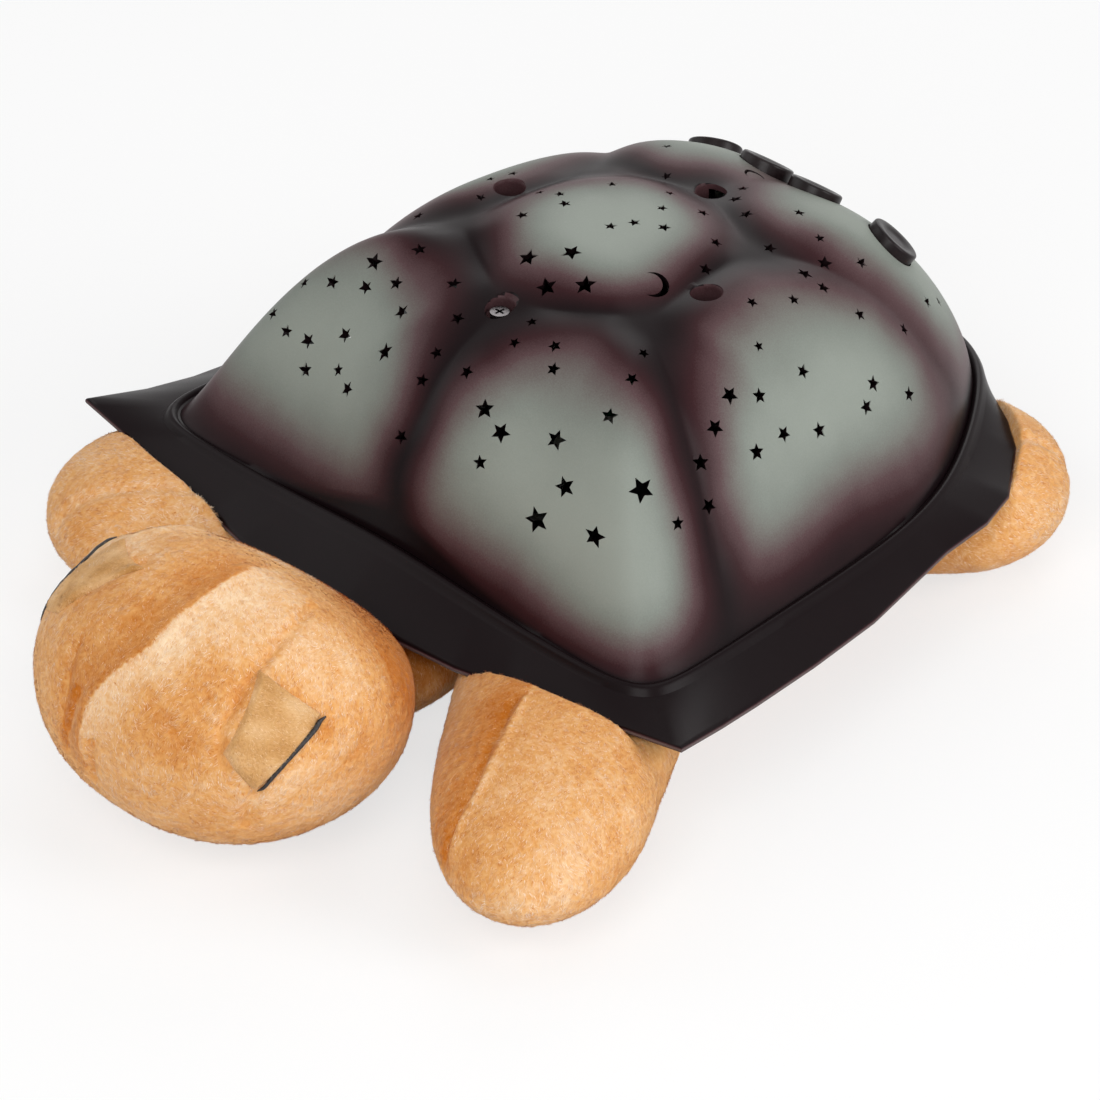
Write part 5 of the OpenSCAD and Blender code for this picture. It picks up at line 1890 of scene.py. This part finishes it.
@dataclass
class EyePatch:
    """A four-cornered cloth patch on the head and the black line of the closed lid along its lower edge.

    Corners, bends and lid are head directions in degrees: azimuth and elevation.
    """

    head: Head
    label: str
    corners: tuple[Pair, ...]
    bend: Pair
    lid: tuple[Pair, ...]
    thread: float = 0.75
    raised: float = 0.5
    steps: int = 26
    lid_steps: int = 40
    cast_from: float = 14.0

    def patch(self) -> Object:
        """The patch: a grid mixed between its corners, whose lower edge bends in, with a turned-in border.

        The bend grows as 4 u v (1 - v), so it is nothing at the upper edge and most at the middle of the lower.

        Returns:
            The patch, before its finish.
        """
        c, n = np.array(self.corners, float), self.steps
        u, v = np.meshgrid(np.linspace(0, 1, n), np.linspace(0, 1, n), indexing="ij")
        q = mix(mix(c[0], c[1], u[..., None]), mix(c[3], c[2], u[..., None]), v[..., None])
        q = q + (4 * u * v * (1 - v))[..., None] * self.bend
        rim = np.minimum(np.minimum(u, 1 - u), np.minimum(v, 1 - v))
        lift = 0.2 + 1.25 * smooth(rim, -0.02, 0.09)
        far = self.head.surface(q[..., 0], q[..., 1], self.cast_from)
        top, low = self.cast(far, lift), self.cast(far, np.full_like(lift, -0.6))
        quads = grid_faces(n)
        rows = [np.arange(n), np.arange(n) * n + n - 1, n * n - 1 - np.arange(n), (n - 1 - np.arange(n)) * n]
        border = np.concatenate([r[:-1] for r in rows])
        after = np.roll(border, -1)
        wall = np.stack([border, after, after + n * n, border + n * n], -1)
        faces = np.concatenate([quads, quads[:, ::-1] + n * n, wall])
        # Which way the corners run decides which side is out, so the faces are turned where they look inwards.
        edge = np.cross(top[1, 0] - top[0, 0], top[0, 1] - top[0, 0])
        if edge @ (top[0, 0] - np.array(self.head.centre)) < 0:
            faces = faces[:, ::-1]
        made = make_object("patch_" + self.label, np.concatenate([top.reshape(-1, 3), low.reshape(-1, 3)]),
                           faces.tolist())
        return refined(made, 1)

    def cast(self, points: Array, lift: Array) -> Array:
        """Drops points towards the middle of the head onto its skin, then lifts them along the ray.

        Args:
            points: (..., 3) points outside the head.
            lift: Height over the skin for each point.

        Returns:
            The points on the head, in the shape of points.
        """
        centre = np.array(self.head.centre)
        flat = points.reshape(-1, 3)
        ways = unit(centre - flat)
        skin_obj = self.head.obj
        hits = [skin_obj.ray_cast((p * MM).tolist(), w.tolist())[1] for p, w in zip(flat, ways)]
        return (np.array([list(h) for h in hits]) / MM - ways * lift.ravel()[:, None]).reshape(points.shape)

    def build(self) -> None:
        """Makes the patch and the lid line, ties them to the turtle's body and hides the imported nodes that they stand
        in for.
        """
        patch = self.patch()
        set_attribute(patch, "nap", np.clip(0.5 + 0.2 * ripple(points_of(patch), 9, 40), 0, 1))
        PATCH.on(patch)
        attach(patch, BODY)
        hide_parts(f"eye_patch_{self.label}")
        SoftPiece(patch.name, f"eye_patch_{self.label}", density=3.2, fibre_mm=1.2, way=(0.5, 0.3, -0.8), seed=90,
                  fibre=PATCH_FIBRE, slot="patch_cloth", obj=patch).pile()
        # The lid runs as (1 - t)^2 of its start, 2 t (1 - t) of its bend and t^2 of its end.
        n, ends = self.lid_steps, np.array(self.lid, float)
        t = np.linspace(0, 1, n)[:, None]
        line = (1 - t) ** 2 * ends[0] + 2 * t * (1 - t) * ends[1] + t ** 2 * ends[2]
        path = self.cast(self.head.surface(line[:, 0], line[:, 1], self.cast_from), np.full(n, self.raised))
        taper = self.thread * np.clip(np.sin(np.pi * np.linspace(0.03, 0.97, n)) * 3, 0.25, 1) * (1 - 0.35 * t[:, 0])
        lid = make_object(f"lid_{self.label}", *skin(tube(path, taper, 16)))
        THREAD_FINISH.on(lid)
        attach(lid, BODY)
        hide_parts(f"eyelid_{self.label}")
        log.info("patch_%s and lid_%s made", self.label, self.label)


class PlushTurtle:
    """All sewn pieces of the turtle."""

    def __init__(self) -> None:
        """Sets out the pieces with their seams and folds."""
        self.head = Head("head_soft", "head", fill=0.8, voxel=4.0, swell=3.2, seed=11, way=(0.5, -0.8, -0.5),
                         strokes=(
                             # The fold that parts the dark side of the brow from the light one, painted shade on one
                             # side and painted light on the other, and a groove beside it with painted shade.
                             Stroke(head_path((26, 80), (-69, 65), (-79, 46), (-89, 29), (-93, 16), (-94, -4)),
                                    -1.1, 3.0, -0.03, 11, 0.27),
                             Stroke(head_path((-101, 81), (-93, 53), (-106, 29), (-104, 4)), 0.8, 6.0, -0.1, 9),
                             # The seam over the brow, along the patch and down under the chin, with painted shade in
                             # its grooves.
                             Stroke(head_path((23, 58), (-15, 53), (-31, 44), (-40, 34), (-46, 23), (-45, 9)),
                                    1.5, 1.4, -0.12, 2.2),
                             Stroke(head_path((-36, -3), (-38, -12), (-39, -21)), 1.8, 1.6, -0.1, 3),
                             Stroke(head_path((-90, 2), (-92, -18)), 1.8, 1.4, -0.25, 2.5),
                             Stroke(head_path((-98, 20), (-103, -12)), 0.9, 1.5, -0.15, 3, 0.12),
                             Stroke(head_path((-111, 33), (-105, 15), (-105, 2)), 0.8, 1.6, -0.12, 3, -0.12),
                             # Lighter and darker bands of the nap tone, with painted shade in the grooves and painted
                             # highlights along the ridges.
                             Stroke(head_path((-2, 66), (-43, 55), (-64, 45)), 0.0, 3.0, 0.12, 11),
                             Stroke(head_path((0, 46), (5, 35)), 0.0, 3.0, 0.16, 13),
                             Stroke(head_path((-58, 36), (-64, 26), (-59, 14)), 0.5, 7.0, -0.24, 9),
                             Stroke(head_path((-60, -12), (-78, -12)), 0.0, 3.0, -0.08, 10),
                             Stroke(head_path((-5, -8), (-14, -18)), 0.0, 3.0, 0.1, 9),
                             Stroke(head_path((-36, -8), (-4, 13)), -0.3, 2.5, 0.16, 3.5),
                             Stroke(head_path((-11, 20), (-26, 38)), 0.9, 1.5, -0.15, 2.5),
                             # Painted shade over the back left of the head, towards the neck and the front left leg.
                             Stroke(head_path((42, 10), (65, 20), (65, 0), (90, 0)), 0.0, 6.0, -0.8, 17),
                             Stroke(head_path((-170, 37), (-172, 55), (153, 58)), -1.2, 4.0, 0.3, 6),
                             Stroke(head_path((-141, 66), (-128, 40)), 0.8, 1.8, -0.1, 3),
                         ))
        self.pieces: list[SoftPiece] = [
            # The body's seam at 18 mm high, with painted shade over the body's whole side, which shows only in the gaps
            # under the shell.
            PlushBody("body_soft", "plush_body", fill=0.6, voxel=4.5, swell=2.5, levels=1, density=1.0, seed=2,
                      strokes=(Stroke(((0, 18.0), (0, 18.5)), 1.2, 1.6, -0.4, 24),)),
            self.head,
            Limb("leg_front_left_soft", "leg_front_left", seed=21, under_skirt=True, root=(57.5, -63),
                 tip=(128.3, -159.7), half_w=34, round_l=66, root_w=1.1, bow=-1.0, way=(0.6, -0.75, -0.4),
                 # A ridge with a painted highlight, a groove beside it, a wide band of painted shade that is deeper on
                 # one side, and a lighter patch on the front.
                 strokes=(Stroke(((80, -109), (97, -141), (103, -158)), -0.9, 1.3, 0.2, 1.6),
                          Stroke(((78, -110), (95, -142), (101, -159)), 1.0, 1.2, 0.0, 3),
                          Stroke(((80, -109), (97, -141), (103, -158)), 0.0, 1.0, -0.24, 17, 0.16),
                          Stroke(((126, -118), (134, -138)), 0.0, 1.0, 0.1, 10))),
            Limb("leg_front_right_soft", "leg_front_right", seed=31, under_skirt=True, root=(-58, -56),
                 tip=(-106, -125), half_w=39, round_l=42, way=(-0.5, -0.8, -0.4),
                 strokes=(Stroke(((-66, -100), (-100, -130)), 1.4, 1.8, 0.1, 4),)),
            *(Limb(f"leg_rear_{word}_soft", f"leg_rear_{word}", seed=seed, under_skirt=True, root=(46 * side, 58),
                   tip=(81 * side, 111), half_w=38.5, round_l=38, way=(0.7 * side, 0.6, -0.4),
                   strokes=(Stroke(((72 * side, 80), (90 * side, 120)), 1.2, 1.8, 0.1, 4),))
              for word, side, seed in (("left", 1, 41), ("right", -1, 51))),
            Limb("tail_soft", "tail", seed=61, under_skirt=True, root=(0, 84), tip=(0, 139), half_w=14, half_h=10,
                 round_l=16, voxel=2.5, swell=1.2, shrink=0.6, levels=1, way=(0, 0.9, -0.3)),
        ]
        self.flap = BellyFlap("belly_flap_soft", "belly_flap", fill=0.3, voxel=1.6, density=1.0, fibre_mm=1.2,
                              seed=71, way=(0, 1, 0), body="flap")

    def build(self) -> None:
        """Starts every piece, stuffs the padded ones, then finishes all of them."""
        for piece in [*self.pieces, self.flap]:
            piece.start()
        stuffed(self.pieces)
        for piece in [*self.pieces, self.flap]:
            piece.finish()
        EyePatch(self.head, "left", ((-26.5, 35.5), (-9.8, 17.8), (-33, -1.6), (-42, 10)), (-0.6, 0.6),
                 ((-9, 17), (-23.5, 10), (-32, -2.5))).build()
        # The head rolls to its left, so the right patch sits higher.
        EyePatch(self.head, "right", ((-134, 60), (-171, 43.5), (-146, 16.3), (-134.5, 24.5)), (2.5, -0.3),
                 ((-174, 37), (-157, 24), (-149, 10)), thread=0.6, raised=0.2).build()


# ---------------------------------------------------------------- inner works


class InnerWorks:
    """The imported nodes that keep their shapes: tray, lamp, boards, screws, cells, leads and tape."""

    FINISHES: tuple[tuple[Finish, tuple[str, ...]], ...] = (
        (TRAY_FINISH, ("lamp_tray", "battery_door")),
        (WHITE_FINISH, ("lamp_holder", "bracket_middle", "bracket_left", "bracket_right")),
        (DARK_STEEL_FINISH, ("shell_screws",)),
        (STEEL_FINISH, ("board_screws", "bracket_screws", "door_screw", "contact_springs", "contact_plates")),
        (BOARD_FINISH, ("lamp_board", "main_board", "switch_board_middle", "switch_board_left",
                        "switch_board_right")),
        (CHIP_FINISH, ("tact_switches", "main_board_parts")),
        (SLEEVE_FINISH, ("battery_1", "battery_2", "battery_3")),
        (LEAD_FINISH, ("battery_leads", "lamp_leads", "switch_leads")),
        (HOOK_FINISH, ("flap_strips",)),
        (LedLens("lens_amber", colour="#ffb347"), ("led_amber",)),
        (LedLens("lens_green", colour="#5fe07a"), ("led_green",)),
        (LedLens("lens_blue", colour="#5f8dff"), ("led_blue",)),
    )

    def build(self, nodes: dict[str, Object]) -> None:
        """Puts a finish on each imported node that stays.

        Args:
            nodes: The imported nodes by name.
        """
        for finish, names in self.FINISHES:
            for name in names:
                finish.on(nodes[name])
                log.info("%s: %s", name, finish.name)


# ---------------------------------------------------------------- studio


def placed(right: Array, up: Array, back: Array, place: Array) -> Matrix:
    """A placing whose columns are the three axes and the place."""
    return Matrix(np.vstack([np.stack([right, up, back, place], -1), [0, 0, 0, 1]]).tolist())


def seen_rays(tree: Tree) -> Socket:
    """1 for rays from the camera, from gloss and through clear parts, and 0 for the rays that light the object.

    Args:
        tree: The material's or world's node tree.

    Returns:
        The output that carries the 1 or 0.
    """
    path = add(tree, "ShaderNodeLightPath").outputs
    seen = maths(tree, "MAXIMUM", path["Is Camera Ray"], path["Is Glossy Ray"])
    return maths(tree, "MAXIMUM", seen, path["Is Transmission Ray"])


@dataclass
class Studio:
    """Camera, soft lamps and a pale floor."""

    target: Triple = (44.57, -65.13, 58.18)
    azimuth: float = 46.27
    elevation: float = 33.27
    distance: float = 2200.0
    lens: float = 254.9
    lit: Triple = (0, -0.03, 0.05)
    floor_half: float = 4000.0
    floor_z: float = -0.3
    floor_points: int = 24
    floor_glow: float = 0.7
    surround: float = 0.18
    # Name, place and side in metres, and power in watts of each lamp.
    lamps: tuple[tuple[str, Triple, float, float], ...] = (
        ("key", (0.75, -1.15, 1.1), 1.0, 16.5), ("top", (0.1, 0.4, 1.8), 1.2, 5.0),
        ("side", (1.6, 0.6, 0.9), 1.0, 19.0), ("fill", (-1.3, -0.9, 0.9), 1.2, 6.0),
        ("back", (-0.9, 1.3, 1.1), 1.2, 9.0))

    def camera(self) -> None:
        """The camera looks at the target from its azimuth and elevation, upright."""
        a, e = math.radians(self.azimuth), math.radians(self.elevation)
        back = np.array([math.sin(a) * math.cos(e), -math.cos(a) * math.cos(e), math.sin(e)])
        right = np.array([math.cos(a), math.sin(a), 0])
        up = np.cross(back, right)
        place = (np.array(self.target) + self.distance * back) * MM
        data = bpy.data.cameras.new("camera")
        data.lens, data.sensor_width, data.clip_start, data.clip_end = self.lens, 36.0, 0.1, 20.0
        camera = linked("camera", data)
        camera.matrix_world = placed(right, up, back, place)
        bpy.context.scene.camera = camera

    def lamp(self, name: str, place: Triple, size: float, watts: float) -> None:
        """A square soft box that faces the middle of the object.

        Args:
            name: Name of the lamp.
            place: Where it hangs, in metres.
            size: Its side, in metres.
            watts: Its power.
        """
        data = bpy.data.lights.new(name, "AREA")
        data.shape, data.size, data.energy = "SQUARE", size, watts
        back = unit(np.array(place, float) - self.lit)
        right = unit(np.cross([0, 0, 1.0], back) if abs(back[2]) < 0.99 else np.array([1.0, 0, 0]))
        up = np.cross(back, right)
        linked(name, data).matrix_world = placed(right, up, back, np.array(place))

    def floor(self) -> None:
        """A wide pale floor. Seven tenths of what the camera and reflections see of it is its own light."""
        g = np.linspace(-self.floor_half, self.floor_half, self.floor_points)
        x, y = np.meshgrid(g, g, indexing="ij")
        floor = make_object("floor", np.stack([x, y, np.full_like(x, self.floor_z)], -1).reshape(-1, 3),
                            grid_faces(self.floor_points).tolist())
        material = bpy.data.materials.new("pale_floor")
        material.use_nodes = True
        tree = material.node_tree
        shader = tree.nodes["Principled BSDF"]
        for name, value in (("Base Color", linear("#f4f4f4")), ("Roughness", 0.9), ("Specular IOR Level", 0.1)):
            feed(tree, shader, name, value)
        share = maths(tree, "MULTIPLY", seen_rays(tree), self.floor_glow)
        glow = add(tree, "ShaderNodeEmission", {"Color": WHITE, "Strength": 1.0})
        both = add(tree, "ShaderNodeMixShader", {0: share, 1: shader.outputs[0], 2: glow.outputs[0]})
        feed(tree, tree.nodes["Material Output"], "Surface", both.outputs[0])
        floor.data.materials.append(material)

    def world(self) -> None:
        """A soft grey surround that the camera and reflections see as white."""
        world = bpy.data.worlds.new("surround")
        bpy.context.scene.world = world
        world.use_nodes = True
        tree = world.node_tree
        strength = add(tree, "ShaderNodeMapRange", {"Value": seen_rays(tree), "To Min": self.surround, "To Max": 1.0})
        back = tree.nodes["Background"]
        feed(tree, back, "Color", WHITE)
        feed(tree, back, "Strength", strength.outputs[0])

    def build(self) -> None:
        """Sets up the whole studio."""
        self.camera()
        for lamp in self.lamps:
            self.lamp(*lamp)
        self.floor()
        self.world()
        bpy.context.scene.view_settings.view_transform = "Standard"


def main() -> None:
    """Builds the object's pieces in order."""
    logging.basicConfig(level=logging.INFO, format="%(name)s: %(message)s", stream=sys.stdout)
    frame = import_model()
    Studio().build()
    HardShell().build()
    for button in (PushButton("cap_timer", "button_timer", "timer_button", RIGHT_SITE),
                   PushButton("cap_amber", "button_amber", "amber_button", MIDDLE_SITE, BUTTON_ROW, BUTTON_DROP),
                   PushButton("cap_green", "button_green", "green_button", MIDDLE_SITE, -BUTTON_ROW, BUTTON_DROP),
                   PushButton("cap_blue", "button_blue", "blue_button", LEFT_SITE)):
        button.build()
    PlushTurtle().build()
    InnerWorks().build(frame["nodes"])


if __name__ == "__main__":
    main()
